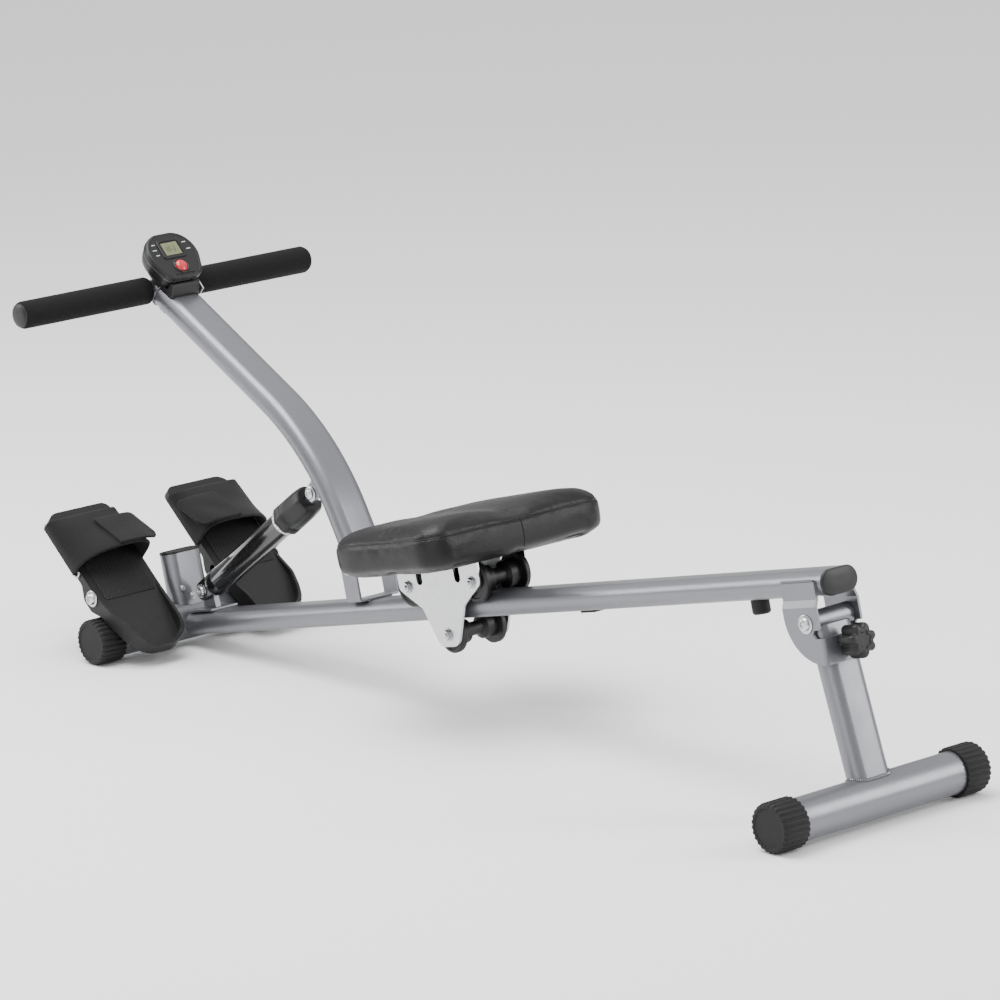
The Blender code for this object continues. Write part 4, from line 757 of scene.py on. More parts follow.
for centre, place, body in ((front_axis, "front", "frame"), (rear_axis, "rear", "rear_leg")):
    half = FOOT_SPAN / 2 - 0.0045
    tube = raised(disc(FOOT_RADIUS, 96), [(-half, 1.0), (half, 1.0)])
    matrix = Matrix.Translation(centre) @ facing("+Y")
    piece(place + "_foot_tube", tube, matrix, silver, body, [place + "_stabilizer_tube"])
    for side, word in ((-1, "left"), (1, "right")):
        foot_cap(f"{place}_foot_cap_{word}", centre, side, body, f"{place}_cap_{word}")

# ---- rail, its end cap and the front post
rail_tube = raised(oval(RAIL_WIDTH, RAIL_HEIGHT, 14), [(0.016, 1.0), (RAIL_END - 0.0043, 1.0)])
ALONG_RAIL = RAIL @ facing("+X") @ QUARTER_TURN
piece("rail_tube", rail_tube, ALONG_RAIL, silver, "frame", ["main_rail"])
rail_cap = raised(
    oval(RAIL_WIDTH + 0.0008, RAIL_HEIGHT + 0.0008, 14),
    [
        (RAIL_END - 0.0040, 0.985),
        (RAIL_END - 0.0034, 1.0),
        (RAIL_END - 0.0018, 1.0),
        (RAIL_END - 0.0006, 0.97),
        (RAIL_END, 0.91),
        (RAIL_END, 0.30),
    ],
)
piece("rail_cap", rail_cap, ALONG_RAIL, abs_black, "frame", ["rail_end_cap"])
UP_POST = POST @ QUARTER_TURN
post_tube = raised(oval(POST_WIDTH, POST_DEPTH, 14), [(0.012, 1.0), (POST_TOP - 0.0004, 1.0)])
piece("post_tube", post_tube, UP_POST, silver, "frame", ["front_post"])
post_lid = raised(
    oval(POST_WIDTH + 0.0006, POST_DEPTH + 0.0006, 14),
    [
        (POST_TOP, 0.985),
        (POST_TOP + 0.0005, 1.0),
        (POST_TOP + 0.0022, 1.0),
        (POST_TOP + 0.0032, 0.97),
        (POST_TOP + 0.0032, 0.90),
        (POST_TOP + 0.0018, 0.875),
        (POST_TOP + 0.0018, 0.20),
    ],
)
piece("post_lid", post_lid, UP_POST, abs_black, "frame", ["post_cap"])
for number, (y, height) in enumerate(((-0.017, 0.048), (-0.003, 0.036))):
    matrix = POST @ shifted(POST_DEPTH / 2, y, height) @ facing("+X")
    cap_screw(f"post_screw_{number}", matrix, "frame", 0.0032, 0.0018)
weld("post_weld", ring_path(POST_WIDTH, POST_DEPTH, UP_POST @ shifted(0, 0, 0.0165), 60), 0.0022, "frame")

# ---- handle arm
arm_shape = oval(ARM_WIDTH, ARM_DEPTH, 14)
bmesh.ops.rotate(arm_shape, matrix=Matrix.Rotation(math.pi / 2, 3, "Z"), verts=arm_shape.verts)
raised(arm_shape, [(0.003, 1.0), (ARM_LOWER, 1.0)])
arm_shape.faces.ensure_lookup_table()
leading = max(arm_shape.faces, key=lambda f: f.calc_center_median().z)
bent = bmesh.ops.spin(
    arm_shape,
    geom=[leading],
    cent=bend_centre,
    axis=(0, -1, 0),
    angle=ARM_BEND,
    steps=28,
)
leading = next(part for part in bent["geom_last"] if isinstance(part, bmesh.types.BMFace))
out = bmesh.ops.extrude_face_region(arm_shape, geom=[leading])
moved = [part for part in out["geom"] if isinstance(part, bmesh.types.BMVert)]
top_direction = Matrix.Rotation(-ARM_BEND, 3, "Y") @ Vector((0, 0, 1))
bmesh.ops.translate(arm_shape, vec=top_direction * ARM_UPPER, verts=moved)
clear_inside(arm_shape)
piece("arm_oval_tube", arm_shape, ARM, silver, "arm", ["arm_tube"])
sleeve = sleeve_of(0.0056, 0.011, 0.0278, 0.0002)
piece("arm_sleeve", sleeve, ARM @ facing("+Y"), silver, "arm", ["arm_pivot_sleeve"])
ARM_FOOT = ARM @ shifted(0, 0, 0.0112) @ QUARTER_TURN
weld("arm_sleeve_weld", ring_path(ARM_WIDTH, ARM_DEPTH, ARM_FOOT, 56), 0.0017, "arm")

# ---- handlebar, foam grips and end plugs
bar = raised(disc(BAR_RADIUS, 72), [(-BAR_HALF, 1.0), (BAR_HALF, 1.0)])
piece("handlebar", bar, BAR @ facing("+Y"), silver, "arm", ["handlebar_tube"])
for side, word in ((-1, "left"), (1, "right")):
    way = BAR @ facing("+Y" if side > 0 else "-Y")
    grip = turned(
        [
            (BAR_RADIUS, GRIP_START),
            (GRIP_RADIUS - 0.0026, GRIP_START),
            (GRIP_RADIUS - 0.0009, GRIP_START + 0.0007),
            (GRIP_RADIUS, GRIP_START + 0.0026),
            (GRIP_RADIUS, 0.09),
            (GRIP_RADIUS, 0.15),
            (GRIP_RADIUS, BAR_HALF - 0.004),
            (GRIP_RADIUS - 0.0008, BAR_HALF - 0.0016),
            (GRIP_RADIUS - 0.0028, BAR_HALF),
            (BAR_RADIUS, BAR_HALF),
        ],
        72,
    )
    piece("foam_grip_" + word, grip, way, foam, "arm", ["grip_" + word])
    plug = turned(
        [
            (0, BAR_HALF + 0.0036),
            (0.006, BAR_HALF + 0.0035),
            (0.0118, BAR_HALF + 0.0030),
            (0.0146, BAR_HALF + 0.0020),
            (0.0155, BAR_HALF + 0.0009),
            (0.0155, BAR_HALF + 0.0002),
            (0.008, BAR_HALF + 0.0002),
        ]
    )
    piece("bar_plug_" + word, plug, way, abs_black, "arm", ["grip_plug_" + word])

# ---- console
outline = [
    (-0.0258, -0.026, 0.016),
    (0.004, -0.0415, 0.014),
    (0.0453, -0.027, 0.010),
    (0.0453, 0.027, 0.010),
    (0.004, 0.0415, 0.014),
    (-0.0258, 0.026, 0.016),
]
middle = (0.00975, 0, 0)
shell = raised(
    face_of(outline),
    [
        (-0.030, 0.74),
        (-0.0292, 0.80),
        (-0.0255, 0.89),
        (-0.018, 0.95),
        (-0.0095, 0.975),
        (-0.0088, 1.0),
        (-0.0035, 1.0),
        (-0.0012, 0.985),
        (0.0, 0.945),
        (0.0, 0.90),
        (-0.0006, 0.885),
        (-0.0006, 0.3),
    ],
    middle,
)
piece("console_shell", shell, CONSOLE, abs_black, "arm", ["console_housing"])
band_levels = [(-0.0092, 0.985), (-0.0092, 1.006), (-0.0082, 1.006), (-0.0082, 0.985)]
band = raised(face_of(outline), band_levels, middle)
piece("console_seam_band", band, CONSOLE, lens_tint, "arm")


def face_mark(name, material, size, at, rise=0.0004, edge=0.0):
    """Thin mark on the console's face: size along (down, across)."""
    shape = block((size[0], size[1], rise), (at[0], at[1], -0.0006 + rise / 2), edge)
    return piece(name, shape, CONSOLE, material, "arm")


bezel_corners = [(-0.0145, -0.018), (0.0145, -0.018), (0.0145, 0.018), (-0.0145, 0.018)]
bezel = face_of([(x, y, 0.004) for x, y in bezel_corners])
bezel_levels = [(-0.0006, 1.0), (0.0005, 1.0), (0.0009, 0.97)]
bezel_levels += [(0.0009, 0.83), (-0.0002, 0.80), (-0.0002, 0.3)]
raised(bezel, bezel_levels)
piece("display_bezel", bezel, CONSOLE, abs_black, "arm")
glass = face_mark("display_glass", display, (0.0195, 0.025), (0, 0), 0.0009)
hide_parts("console_lens")
digits = []
for y in (-0.0065, -0.0022, 0.0042):
    for x in (-0.0032, 0.0004, 0.0040):
        digits.append(block((0.0005, 0.0024, 0.0002), (x, y, 0.00036)))
    for x, turn in ((-0.0014, -1), (0.0022, -1), (-0.0014, 1), (0.0022, 1)):
        if (x, turn, y) != (-0.0014, -1, 0.0042):
            upright = block((0.0026, 0.0005, 0.0002), (x, y + turn * 0.0013, 0.00036))
            digits.append(upright)
piece("display_segments", joined(digits), CONSOLE, segment, "arm")
marks = []
for x, y, length in (
    (-0.0098, -0.0235, 0.0055),
    (-0.0015, -0.0255, 0.0065),
    (0.0068, -0.0250, 0.0055),
    (-0.0070, 0.0240, 0.0060),
    (0.0040, 0.0255, 0.0065),
):
    marks.append(block((0.0012, length, 0.0003), (x, y, -0.00045)))
piece("console_marks", joined(marks), CONSOLE, pale_mark, "arm")
BUTTON = CONSOLE @ shifted(0.028, 0, 0)
button = turned(
    [
        (0, 0.0043),
        (0.0030, 0.0041),
        (0.0056, 0.0034),
        (0.0076, 0.0022),
        (0.0086, 0.0006),
        (0.0087, -0.0012),
        (0.0087, -0.003),
    ]
)
piece("button_dome", button, BUTTON, red, "reset_button_body", ["reset_button"])
collar = turned([(0.0092, -0.001), (0.0092, 0.0004), (0.0102, 0.0008), (0.0112, 0.0003), (0.0116, -0.001)])
piece("button_collar", collar, BUTTON, abs_black, "arm")
ridges = []
for x in (0.0395, 0.0418):
    ridges.append(block((0.0011, 0.030, 0.0012), (x, 0, -0.0003), 0.0003))
piece("console_ridges", joined(ridges), CONSOLE, abs_black, "arm")
neck_shape = face_of(
    [
        (-0.006, -0.0238, 0),
        (0.0462, -0.0238, 0.001),
        (0.0462, -0.0105, 0.001),
        (0.0500, -0.0105, 0.002),
        (0.0600, -0.0225, 0.004),
        (0.0560, -0.0395, 0.003),
        (-0.006, -0.0395, 0),
    ],
    6,
)
raised(neck_shape, [(-0.0225, 0.95), (-0.0212, 1.0), (0.0212, 1.0), (0.0225, 0.95)], (0.03, -0.025, 0))
piece("console_neck", neck_shape, CONSOLE @ facing("-Y"), abs_black, "arm", ["console_bracket"])
tab = block((0.016, 0.002, 0.013), (0.052, 0.0240, -0.020), 0.0008)
piece("neck_tab", tab, CONSOLE, zinc, "arm")
wedge = block((0.014, 0.018, 0.012), (0.016, 0, -ARM_DEPTH / 2 - 0.0063), 0.0025)
piece("pickup_wedge", wedge, BAR, abs_black, "arm", ["sensor_plug"])
ARM_HEAD = BAR @ shifted(0.0145, 0, 0) @ facing("+X") @ QUARTER_TURN
weld(
    "bar_weld",
    ring_path(ARM_WIDTH, ARM_DEPTH, ARM_HEAD, 56),
    0.0018,
    "arm",
)

# ---- hydraulic cylinder
ALONG_CYLINDER = CYLINDER @ facing("+X")
barrel = turned(
    [
        (0, 0.0145),
        (0.0140, 0.0145),
        (0.0162, 0.0158),
        (BARREL_RADIUS, 0.019),
        (BARREL_RADIUS, 0.030),
        (BARREL_RADIUS - 0.0006, 0.0312),
        (BARREL_RADIUS - 0.0006, 0.0328),
        (BARREL_RADIUS, 0.034),
        (BARREL_RADIUS, BARREL_TOP - 0.002),
        (BARREL_RADIUS - 0.002, BARREL_TOP),
        (0, BARREL_TOP),
    ],
    72,
)
fork = []
for side in (-1, 1):
    cheek = face_of(
        [
            (-0.0125, -0.0125, 0.0120),
            (0.020, -0.0125, 0),
            (0.020, 0.0125, 0),
            (-0.0125, 0.0125, 0.0120),
        ]
    )
    raised(cheek, [(-0.004, 0.98), (-0.0036, 1.0), (0.0036, 1.0), (0.004, 0.98)])
    fork.append((cheek, CYLINDER @ shifted(0, side * 0.0084, 0) @ facing("+Y")))
shape = joined([(barrel, ALONG_CYLINDER), *fork])
piece("damper_barrel", shape, IN_PLACE, enamel, "barrel", ["cylinder_barrel"])
knob_start = BARREL_TOP - 0.006
ring = turned(
    [
        (BARREL_RADIUS, -0.0060),
        (0.0186, -0.0060),
        (0.0190, -0.0056),
        (0.0190, -0.0008),
        (0.0186, -0.0004),
        (BARREL_RADIUS, -0.0004),
    ]
)
ON_BARREL = CYLINDER @ shifted(knob_start, 0, 0) @ facing("+X")
piece("resistance_scale", ring, ON_BARREL, scale_white, "barrel", ["scale_ring"])
ticks = []
for step in range(24):
    long = step % 2 == 0
    turn = Matrix.Rotation(math.tau * step / 24, 4, "X")
    size = (0.0034 if long else 0.0018, 0.0007, 0.0003)
    at = (knob_start - 0.0031 if long else knob_start - 0.0041, 0, 0.0190)
    ticks.append((block(size, at), turn))
piece("scale_ticks", joined(ticks), CYLINDER, ink, "barrel")
knob = disc(KNOB_RADIUS, 8 * 12)
for vert in knob.verts:
    turn = math.atan2(vert.co.y, vert.co.x)
    shrink = 1 - 0.0013 / KNOB_RADIUS * (1 - math.cos(8 * turn)) / 2
    vert.co.x *= shrink
    vert.co.y *= shrink
raised(
    knob,
    [
        (0, 0.93),
        (0.0006, 0.97),
        (0.002, 1.0),
        (0.012, 1.0),
        (0.0130, 0.965),
        (0.0150, 0.965),
        (0.0160, 0.995),
        (0.036, 0.99),
        (0.048, 0.96),
        (0.053, 0.93),
        (0.056, 0.90),
        (0.0585, 0.86),
        (KNOB_LENGTH, 0.80),
        (KNOB_LENGTH, 0.34),
    ],
)
piece("resistance_grip", knob, ON_BARREL, abs_black, "resistance_dial", ["resistance_knob"])
for side, word in ((-1, "left"), (1, "right")):
    way = "+Y" if side > 0 else "-Y"
    spot = CYLINDER @ shifted(0, side * 0.0130, 0) @ facing(way)
    stands_for = ["cylinder_base_bolt"] if side < 0 else []
    cap_screw(f"damper_foot_screw_{word}", spot, "frame", 0.0068, 0.0036, stands_for)

# ---- ear bolt, arm bolt and leg bolt
ear_low, ear_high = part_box("cylinder_ear_bolt")
ear_pin = (ear_low + ear_high) / 2
bolts = (
    ("ear", ear_pin, ARM_LEAN, 0.0117, 0.0072, 0.0040, "arm", "cylinder_ear_bolt"),
    ("arm", joint_at("arm_swing"), RAIL_ANGLE, 0.0326, 0.0082, 0.0045, "frame", "arm_pivot_bolt"),
    ("leg", joint_at("rear_leg_fold"), RAIL_ANGLE, 0.0350, 0.0082, 0.0048, "frame", "leg_pivot_bolt"),
)
for word, centre, angle, reach, head, tall, body, node in bolts:
    spot = leaning(centre, angle)
    cap_screw(word + "_bolt_head", spot @ shifted(0, -reach, 0) @ facing("-Y"), body, head, tall, [node])
    hex_nut(word + "_bolt_nut", spot @ shifted(0, reach, 0) @ facing("+Y"), body, head * 1.7, tall)

# ---- pedals: tread inlays, axle ends
axle_y = PEDAL_OUTER + 0.0006
for side, word in ((-1, "left"), (1, "right")):
    way = "+Y" if side > 0 else "-Y"
    spot = PEDAL @ shifted(0, side * axle_y, 0) @ facing(way)
    cap_screw("axle_end_" + word, spot, "frame", 0.0080, 0.0050, ["pedal_axle"] if side < 0 else [])
    inlay = block((0.132, 0.080, 0.0010), (-0.054, side * 0.099, PEDAL_TOP + 0.0004), 0.0003)
    piece("pedal_tread_" + word, inlay, PEDAL, tread, f"pedal_{word}_body")


# ---- straps
def curve_through(points, count):
    """Even points on a smooth curve through the given ones."""
    points = [Vector(p) for p in points]
    dense = []
    for index in range(len(points) - 1):
        p0 = points[max(index - 1, 0)]
        p1 = points[index]
        p2 = points[index + 1]
        p3 = points[min(index + 2, len(points) - 1)]
        for step in range(16):
            t = step / 16
            dense.append(
                0.5
                * (
                    2 * p1
                    + (p2 - p0) * t
                    + (2 * p0 - 5 * p1 + 4 * p2 - p3) * t * t
                    + (3 * p1 - p0 - 3 * p2 + p3) * t * t * t
                )
            )
    dense.append(points[-1])
    lengths = [0.0]
    for a, b in zip(dense, dense[1:]):
        lengths.append(lengths[-1] + (b - a).length)
    even = []
    index = 0
    for step in range(count + 1):
        target = lengths[-1] * step / count
        while index < len(lengths) - 2 and lengths[index + 1] < target:
            index += 1
        span = lengths[index + 1] - lengths[index]
        share = (target - lengths[index]) / span if span else 0
        even.append(dense[index].lerp(dense[index + 1], share))
    return even, lengths[-1]


def strap(
    name, toe_edge, heel_edge, start_u, end_u, side, body, replaces, rests_on, sway, count, corner
):
    """Webbing strap: a grid between its two edges, (across, above) paths, with soft folds."""
    toe_path, toe_length = curve_through(toe_edge, count)
    heel_path, heel_length = curve_through(heel_edge, count)
    length = (toe_length + heel_length) / 2
    across_count = 20
    bm = bmesh.new()
    bmesh.ops.create_grid(bm, x_segments=count, y_segments=across_count, size=0.5)
    for vert in bm.verts:
        step = round((vert.co.x + 0.5) * count)
        share = vert.co.y + 0.5
        spots = []
        for at in (step, min(step + 1, count), max(step - 1, 0)):
            spots.append(toe_path[at].lerp(heel_path[at], share))
        here, ahead, behind = spots
        along = (ahead - behind).normalized()
        outwards = Vector((along.y, -along.x))
        # A free end has rounded corners.
        into = max(0.0, corner - length * (count - step) / count)
        half = abs(end_u - start_u) / 2
        narrow = (half - corner + math.sqrt(max(corner**2 - into**2, 0))) / half
        share = 0.5 + (share - 0.5) * narrow
        held = math.sin(math.pi * step / count)
        lift = sway * held * math.sin(5.1 * share + 0.11 * step) * math.sin(math.pi * share)
        spot = here + outwards * (STRAP_THICKNESS / 2 + lift)
        vert.co = (start_u + (end_u - start_u) * share, side * spot.x, spot.y)
    shape = piece(name, bm, PEDAL, webbing, body, replaces)
    shell = shape.modifiers.new("thickness", "SOLIDIFY")
    shell.thickness = STRAP_THICKNESS
    shell.offset = 0
    rounding = shape.modifiers.new("edge", "BEVEL")
    rounding.width = 0.0009
    rounding.segments = 2
    rounding.limit_method = "ANGLE"
    return shape


def strap_height(u, at_toe, at_heel):
    """Height at u of a strap that rises evenly from its toe edge to its heel edge."""
    low = TOE_EDGE_RISE * at_toe
    high = HEEL_EDGE_RISE * at_heel
    return low + (high - low) * (u - STRAP_START) / (STRAP_END - STRAP_START)


ARCH = (
    (0.0, 0.0, 0.0),
    (0.0, 0.75, 0.30),
    (0.06, 0.92, 0.62),
    (0.22, 0.97, 0.86),
    (0.45, 1.0, 0.97),
    (0.72, 1.0, 1.0),
    (0.93, 0.97, 0.90),
    (1.0, 0.75, 0.62),
    (1.0, 0.0, 0.0),
)
FLAP = ((0.0, 1.0, 1.0), (0.30, 1.0, 1.0), (0.60, 1.0, 0.98), (0.80, 0.98, 0.92), (1.0, 0.94, 0.82))
for side, word in ((-1, "left"), (1, "right")):
    body = f"pedal_{word}_body"
    outer = PEDAL_OUTER + STRAP_OUTSET
    inner = PEDAL_INNER - GAP
    foot = PEDAL_TOP - 0.008
    edges = [
        [(outer - (outer - inner) * v, foot + strap_height(u, a, b)) for v, a, b in ARCH]
        for u in (STRAP_START, STRAP_END)
    ]
    strap(
        "toe_webbing_" + word,
        *edges,
        STRAP_START,
        STRAP_END,
        side,
        body,
        ["toe_strap_" + word],
        ["pedal_" + word],
        0.0012,
        56,
        0.0,
    )
    seat = foot + STRAP_THICKNESS + 2 * GAP
    length = FLAP_OVERLAP + FLAP_TAIL
    edges = [
        [(inner + FLAP_OVERLAP - length * v, seat + strap_height(u, a, b)) for v, a, b in FLAP]
        for u in (FLAP_START, FLAP_END)
    ]
    strap(
        "flap_webbing_" + word,
        *edges,
        FLAP_START,
        FLAP_END,
        side,
        body,
        ["strap_flap_" + word],
        ["toe_webbing_" + word],
        0.0008,
        40,
        0.010,
    )

# ---- seat carriage: rollers, axle bolts and nuts
for word, joint, core, flange in (
    ("front", "front_roller_spin", 0.0167, 0.026),
    ("rear", "rear_roller_spin", 0.0167, 0.026),
    ("lower", "lower_roller_spin", 0.0152, 0.024),
):
    centre = joint_at(joint)
    inner = RAIL_WIDTH / 2 + 0.0004
    outer = inner + 0.0076
    profile = [
        (0.0045, -outer),
        (flange * 0.45, -outer),
        (flange * 0.50, -outer + 0.0012),
        (flange * 0.78, -outer + 0.0012),
        (flange * 0.82, -outer),
        (flange - 0.0016, -outer),
        (flange, -outer + 0.0016),
        (flange, -inner - 0.0008),
        (flange - 0.0008, -inner),
        (core, -inner),
        (core, -0.013),
        (core - 0.0065, -0.009),
    ]
    profile += [(radius, -height) for radius, height in reversed(profile)]
    spot = leaning(centre, RAIL_ANGLE)
    body = f"{word}_roller"
    wheel = turned(profile, 72)
    piece(f"{word}_wheel", wheel, spot @ facing("+Y"), abs_black, body, [f"roller_{word}"])
    reach = outer + 0.0043
    hex_nut(f"{word}_axle_head", spot @ shifted(0, -reach, 0) @ facing("-Y"), "carriage", 0.0118, 0.0042)
    far = hex_nut(f"{word}_axle_nut", spot @ shifted(0, reach, 0) @ facing("+Y"), "carriage", 0.0118, 0.0042)
    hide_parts(f"roller_bolt_{word}")

# ---- rear leg, its sleeve, welds and lock knob
leg_length = (LEG.translation - rear_axis).length
leg_tube = raised(oval(LEG_WIDTH, LEG_DEPTH, 14), [(-leg_length + 0.012, 1.0), (-0.006, 1.0)])
UP_LEG = LEG @ QUARTER_TURN
piece("leg_oval_tube", leg_tube, UP_LEG, silver, "rear_leg", ["leg_tube"])
sleeve = sleeve_of(0.0055, 0.0135, 0.0308, 0.0004)
piece("leg_sleeve", sleeve, LEG @ facing("+Y"), silver, "rear_leg", ["leg_pivot_sleeve"])


def saddle_path(width, depth, matrix, radius, count=60):
    """Where a flat-sided tube meets the round foot tube under it, with the foot's axis on Y."""
    points = []
    for spot in ring_path(width, depth, QUARTER_TURN, count):
        drop = math.sqrt(max(radius**2 - spot.x**2, 0))
        points.append(matrix @ Vector((spot.x, spot.y, drop)))
    return points


FOOT_ON_LEG = LEG @ shifted(0, 0, -leg_length)
leg_seat = saddle_path(LEG_WIDTH, LEG_DEPTH, FOOT_ON_LEG, FOOT_RADIUS + 0.0004)
weld("leg_foot_weld", leg_seat, 0.0026, "rear_leg")
bracket_edge = [
    RAIL @ Vector((RAIL_END - 0.066 + 0.0075 * step, -RAIL_WIDTH / 2 - 0.0012, 0.0052))
    for step in range(8)
]
weld("bracket_weld_left", bracket_edge, 0.0022, "frame")
weld("bracket_weld_right", [Vector((p.x, -p.y, p.z)) for p in bracket_edge], 0.0022, "frame")
arm_edge = [
    RAIL @ Vector((ARM_PIVOT_ALONG + side * 0.0148, y * 0.006, RAIL_HEIGHT / 2 + 0.0008))
    for side, y in ((1, -3), (1, -1), (1, 1), (1, 3))
]
weld("arm_bracket_weld", arm_edge, 0.0017, "frame")
knob = disc(0.021, 7 * 16)
for vert in knob.verts:
    turn = math.atan2(vert.co.y, vert.co.x)
    wave = (1 - math.cos(7 * turn)) / 2
    shrink = 1 - 0.0052 / 0.021 * wave**1.4
    vert.co.x *= shrink
    vert.co.y *= shrink
raised(
    knob,
    [
        (0.0055, 0.84),
        (0.0068, 0.93),
        (0.0095, 0.99),
        (0.012, 1.0),
        (0.0240, 1.0),
        (0.0268, 0.985),
        (0.0290, 0.94),
        (0.0307, 0.86),
        (0.0315, 0.76),
        (0.0312, 0.52),
        (0.0300, 0.48),
        (0.0300, 0.2),
    ],
)
hub = turned([(0, 0.0058), (0.010, 0.0058), (0.010, 0.0018), (0.0094, 0.0014), (0, 0.0014)], 48)
shape = joined([knob, hub])
piece("leg_lock_knob", shape, LOCK @ facing("+X"), abs_black, "lock", ["lock_knob"])

# ---- seat
SEAT_CORNERS = [
    (-0.101, -0.088, 0.050),
    (-0.071, -0.149, 0.036),
    (0.133, -0.149, 0.034),
    (0.133, 0.149, 0.034),
    (-0.071, 0.149, 0.036),
    (-0.101, 0.088, 0.050),
]
SEAT_MIDDLE = (0.016, 0, 0)
SEAT_LEVELS = [
    (0.0, 0.915),
    (0.002, 0.955),
    (0.006, 0.978),
    (0.012, 0.985),
    (0.024, 0.988),
    (0.034, 0.984),
    (0.0385, 0.972),
    (0.043, 0.955),
    (0.047, 0.915),
    (0.050, 0.84),
    (0.0520, 0.72),
    (0.0530, 0.55),
    (0.0533, 0.36),
    (0.0534, 0.16),
]


def seat_swell(x, y):
    """Height of the seat's top above its flat form: crowned front, raised rear lobes, dip between."""
    rear = max(0.0, min(1.0, (x + 0.02) / 0.12))
    lobe = math.exp(-(((abs(y) - 0.086) / 0.050) ** 2))
    dip = math.exp(-((y / 0.034) ** 2))
    return 0.0030 * rear * lobe - 0.0050 * dip * (0.35 + 0.65 * rear) - 0.003 * (1 - rear)


def swell_cushion(source):
    """Inflates the cover with a short cloth run and keeps its movement small."""
    source_mesh = source.data
    remesh = source.modifiers.new("remesh", "REMESH")
    remesh.mode = "VOXEL"
    remesh.voxel_size = 0.0042
    graph = bpy.context.evaluated_depsgraph_get()
    source.data = bpy.data.meshes.new_from_object(source.evaluated_get(graph))
    source.modifiers.clear()
    bpy.data.meshes.remove(source_mesh)
    rest = [v.co.copy() for v in source.data.vertices]
    cloth = source.modifiers.new("cloth", "CLOTH")
    cloth.settings.use_pressure = True
    cloth.settings.uniform_pressure_force = 4
    cloth.settings.effector_weights.gravity = 0
    cloth.settings.quality = 5
    cloth.settings.tension_stiffness = 15
    cloth.settings.compression_stiffness = 5
    cloth.settings.bending_stiffness = 0.5
    cloth.point_cache.frame_start = 1
    cloth.point_cache.frame_end = 20
    for step in range(1, 21):
        scene.frame_set(step)
    graph = bpy.context.evaluated_depsgraph_get()
    swollen = bpy.data.meshes.new_from_object(source.evaluated_get(graph))
    for vert, origin in zip(swollen.vertices, rest):
        move = vert.co - origin
        if move.length > MOST_SWELL:
            vert.co = origin + move.normalized() * MOST_SWELL
    source.modifiers.clear()
    source.data = swollen
    scene.frame_set(1)


cover_shape = raised(face_of(SEAT_CORNERS, 12), SEAT_LEVELS, SEAT_MIDDLE)
bmesh.ops.translate(cover_shape, vec=(0, 0, SEAT_LOW), verts=cover_shape.verts)
bmesh.ops.triangulate(cover_shape, faces=[f for f in cover_shape.faces if len(f.verts) > 4])
seat_cover = piece("seat_cover", cover_shape, IN_PLACE, vinyl, "carriage", ["seat_cushion"])
swell_cushion(seat_cover)
SEAM_HEIGHT = SEAT_LOW + 0.0385
cover = bmesh.new()
cover.from_mesh(seat_cover.data)
bmesh.ops.subdivide_edges(cover, edges=cover.edges[:], cuts=1, use_grid_fill=True)
bmesh.ops.smooth_vert(
    cover, verts=cover.verts[:], factor=0.5, use_axis_x=True, use_axis_y=True, use_axis_z=True
)
top_start = SEAT_LOW + 0.030
for vert in cover.verts:
    x, y, z = vert.co
    above = max(0.0, min(1.0, (z - top_start) / 0.022))
    rise = seat_swell(x, y) * above
    edge = max(abs(y) / 0.149, (x - 0.016) / 0.117, (0.016 - x) / 0.117)
    # Puckers gather towards the seam and fade over the crown.
    near_seam = math.exp(-(((z - SEAM_HEIGHT) / 0.012) ** 2))
    pucker = noise.noise(Vector((x * 62, y * 62, z * 25))) * 0.0013 * near_seam
    broad = noise.noise(Vector((x * 17 + 3, y * 17, z * 12))) * 0.0016 * above
    push = Vector((x - 0.016, y, 0)).normalized() if edge > 0.3 else Vector((0, 0, 1))
    groove = math.exp(-(((z - SEAM_HEIGHT) / 0.0018) ** 2)) * 0.0011 if edge > 0.7 else 0.0
    vert.co += push * (pucker - groove) + Vector((0, 0, rise + broad))
cover.normal_update()
seam_tree = BVHTree.FromBMesh(cover)
bmesh.ops.transform(cover, matrix=CARRIAGE, verts=cover.verts)
cover.to_mesh(seat_cover.data)
cover.free()
seat_cover.data.shade_smooth()


def on_cover(x, y, z):
    """Nearest point of the seat's cover, found from outside at that height."""
    spot = Vector((x, y, z))
    inwards = (Vector((0.014, 0, z)) - spot).normalized()
    hit = seam_tree.ray_cast(spot - inwards * 0.05, inwards)
    return hit[0] if hit[0] is not None else spot


def stitch_line(name, spots, radius, closed, material=None):
    """Thin cord or thread laid on the cover through the given places."""
    curve = bpy.data.curves.new(name, "CURVE")
    curve.dimensions = "3D"
    curve.bevel_depth = radius
    curve.bevel_resolution = 3
    spline = curve.splines.new("POLY")
    spline.points.add(len(spots) - 1)
    for point, spot in zip(spline.points, spots):
        point.co = (*(CARRIAGE @ spot), 1)
    spline.use_cyclic_u = closed
    temporary = bpy.data.objects.new(name, curve)
    scene.collection.objects.link(temporary)
    graph = bpy.context.evaluated_depsgraph_get()
    mesh = bpy.data.meshes.new_from_object(temporary.evaluated_get(graph))
    bpy.data.objects.remove(temporary)
    bm = bmesh.new()
    bm.from_mesh(mesh)
    return piece(name, bm, IN_PLACE, material or vinyl, "carriage")


ring_spots = []
for step in range(240):
    turn = math.tau * step / 240
    ring_spots.append(on_cover(0.014 + 0.2 * math.cos(turn), 0.2 * math.sin(turn), SEAM_HEIGHT))
stitch_line("seat_side_seam", ring_spots, 0.0009, True)
rear_spots = [on_cover(0.2, 0.004, SEAT_LOW + 0.004 + 0.0017 * step) for step in range(21)]
stitch_line("seat_rear_seam", rear_spots, 0.0008, False)

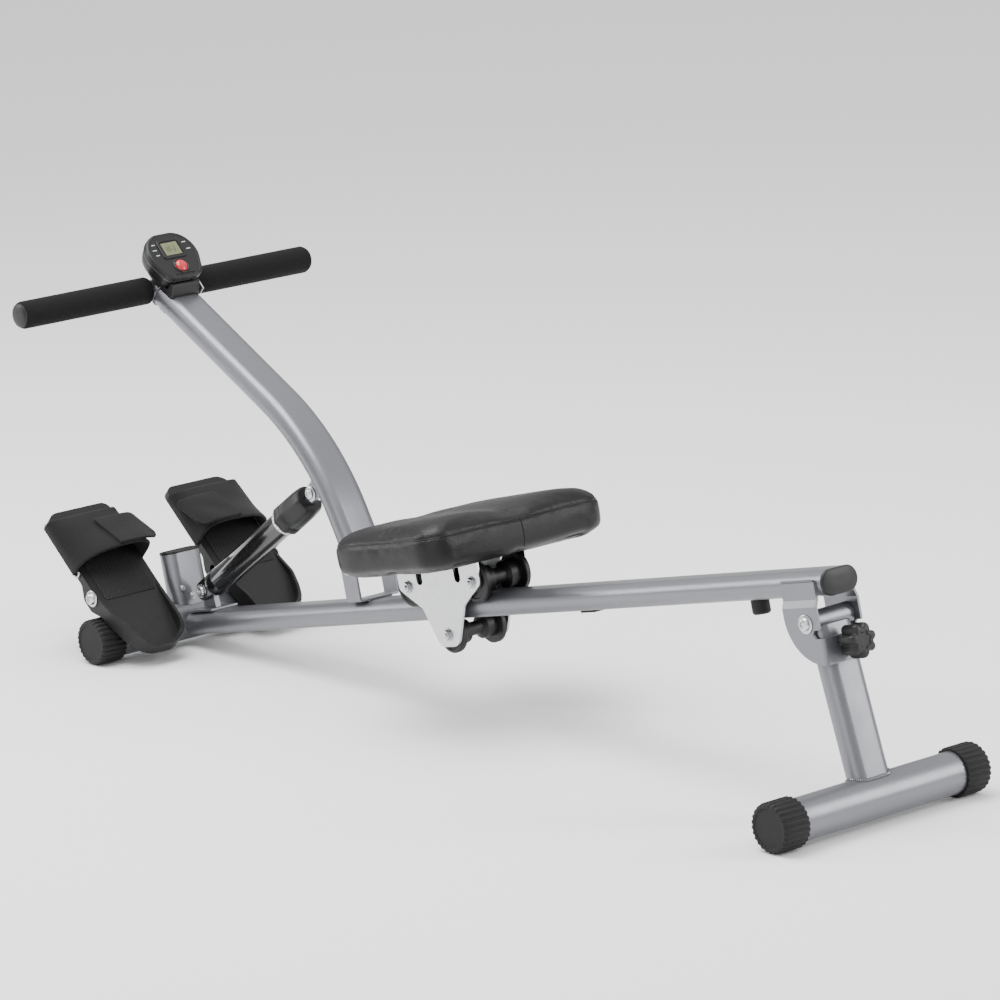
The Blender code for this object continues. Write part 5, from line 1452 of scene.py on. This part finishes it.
# ---- floor and light
floor_shape = bmesh.new()
bmesh.ops.create_grid(floor_shape, x_segments=1, y_segments=1, size=40)
floor_mesh = bpy.data.meshes.new("floor")
floor_shape.to_mesh(floor_mesh)
floor_shape.free()
floor = bpy.data.objects.new("floor", floor_mesh)
scene.collection.objects.link(floor)
floor_paint, floor_tree, floor_shader, floor_place = start("matt_white_floor_paint", "#f4f4f4", 0.9)
floor_grain = add(floor_tree, "ShaderNodeTexNoise", {"Vector": floor_place, "Scale": 3, "Detail": 2})
floor_gloss = add(
    floor_tree,
    "ShaderNodeMapRange",
    {"Value": floor_grain.outputs["Fac"], "To Min": 0.85, "To Max": 0.95},
)
floor_tree.links.new(floor_gloss.outputs["Result"], floor_shader.inputs["Roughness"])
floor_mesh.materials.append(floor_paint)

world = bpy.data.worlds.new("studio")
scene.world = world
world.use_nodes = True
sky = world.node_tree.nodes["Background"]
# Bright overhead and darker towards the walls, which gives the metal its contrast.
direction = add(world.node_tree, "ShaderNodeTexCoord").outputs["Generated"]
height = add(world.node_tree, "ShaderNodeSeparateXYZ", {"Vector": direction}).outputs["Z"]
ramp = add(
    world.node_tree,
    "ShaderNodeMapRange",
    {"Value": height, "From Min": 0.0, "From Max": 0.75, "To Min": 0.30, "To Max": 1.35},
)
world.node_tree.links.new(ramp.outputs["Result"], sky.inputs["Strength"])
sky.inputs["Color"].default_value = colour("#ffffff")


def lamp(name, place, target, size, power):
    light = bpy.data.lights.new(name, "AREA")
    light.shape = "RECTANGLE"
    light.size, light.size_y = size
    light.energy = power
    made = bpy.data.objects.new(name, light)
    scene.collection.objects.link(made)
    look = (Vector(target) - Vector(place)).to_track_quat("-Z", "Y")
    made.matrix_world = Matrix.Translation(place) @ look.to_matrix().to_4x4()
    return made


lamp("overhead_softbox", (-0.4, -0.6, 3.0), (0, 0, 0.2), (2.6, 1.6), 120)
lamp("left_strip", (-2.6, -1.8, 1.6), (0, 0, 0.25), (0.7, 2.2), 60)
lamp("rear_strip", (2.4, 1.8, 1.4), (0, 0, 0.25), (0.6, 2.0), 50)
lamp("front_fill", (1.8, -3.0, 1.2), (0, 0, 0.2), (2.4, 1.6), 30)
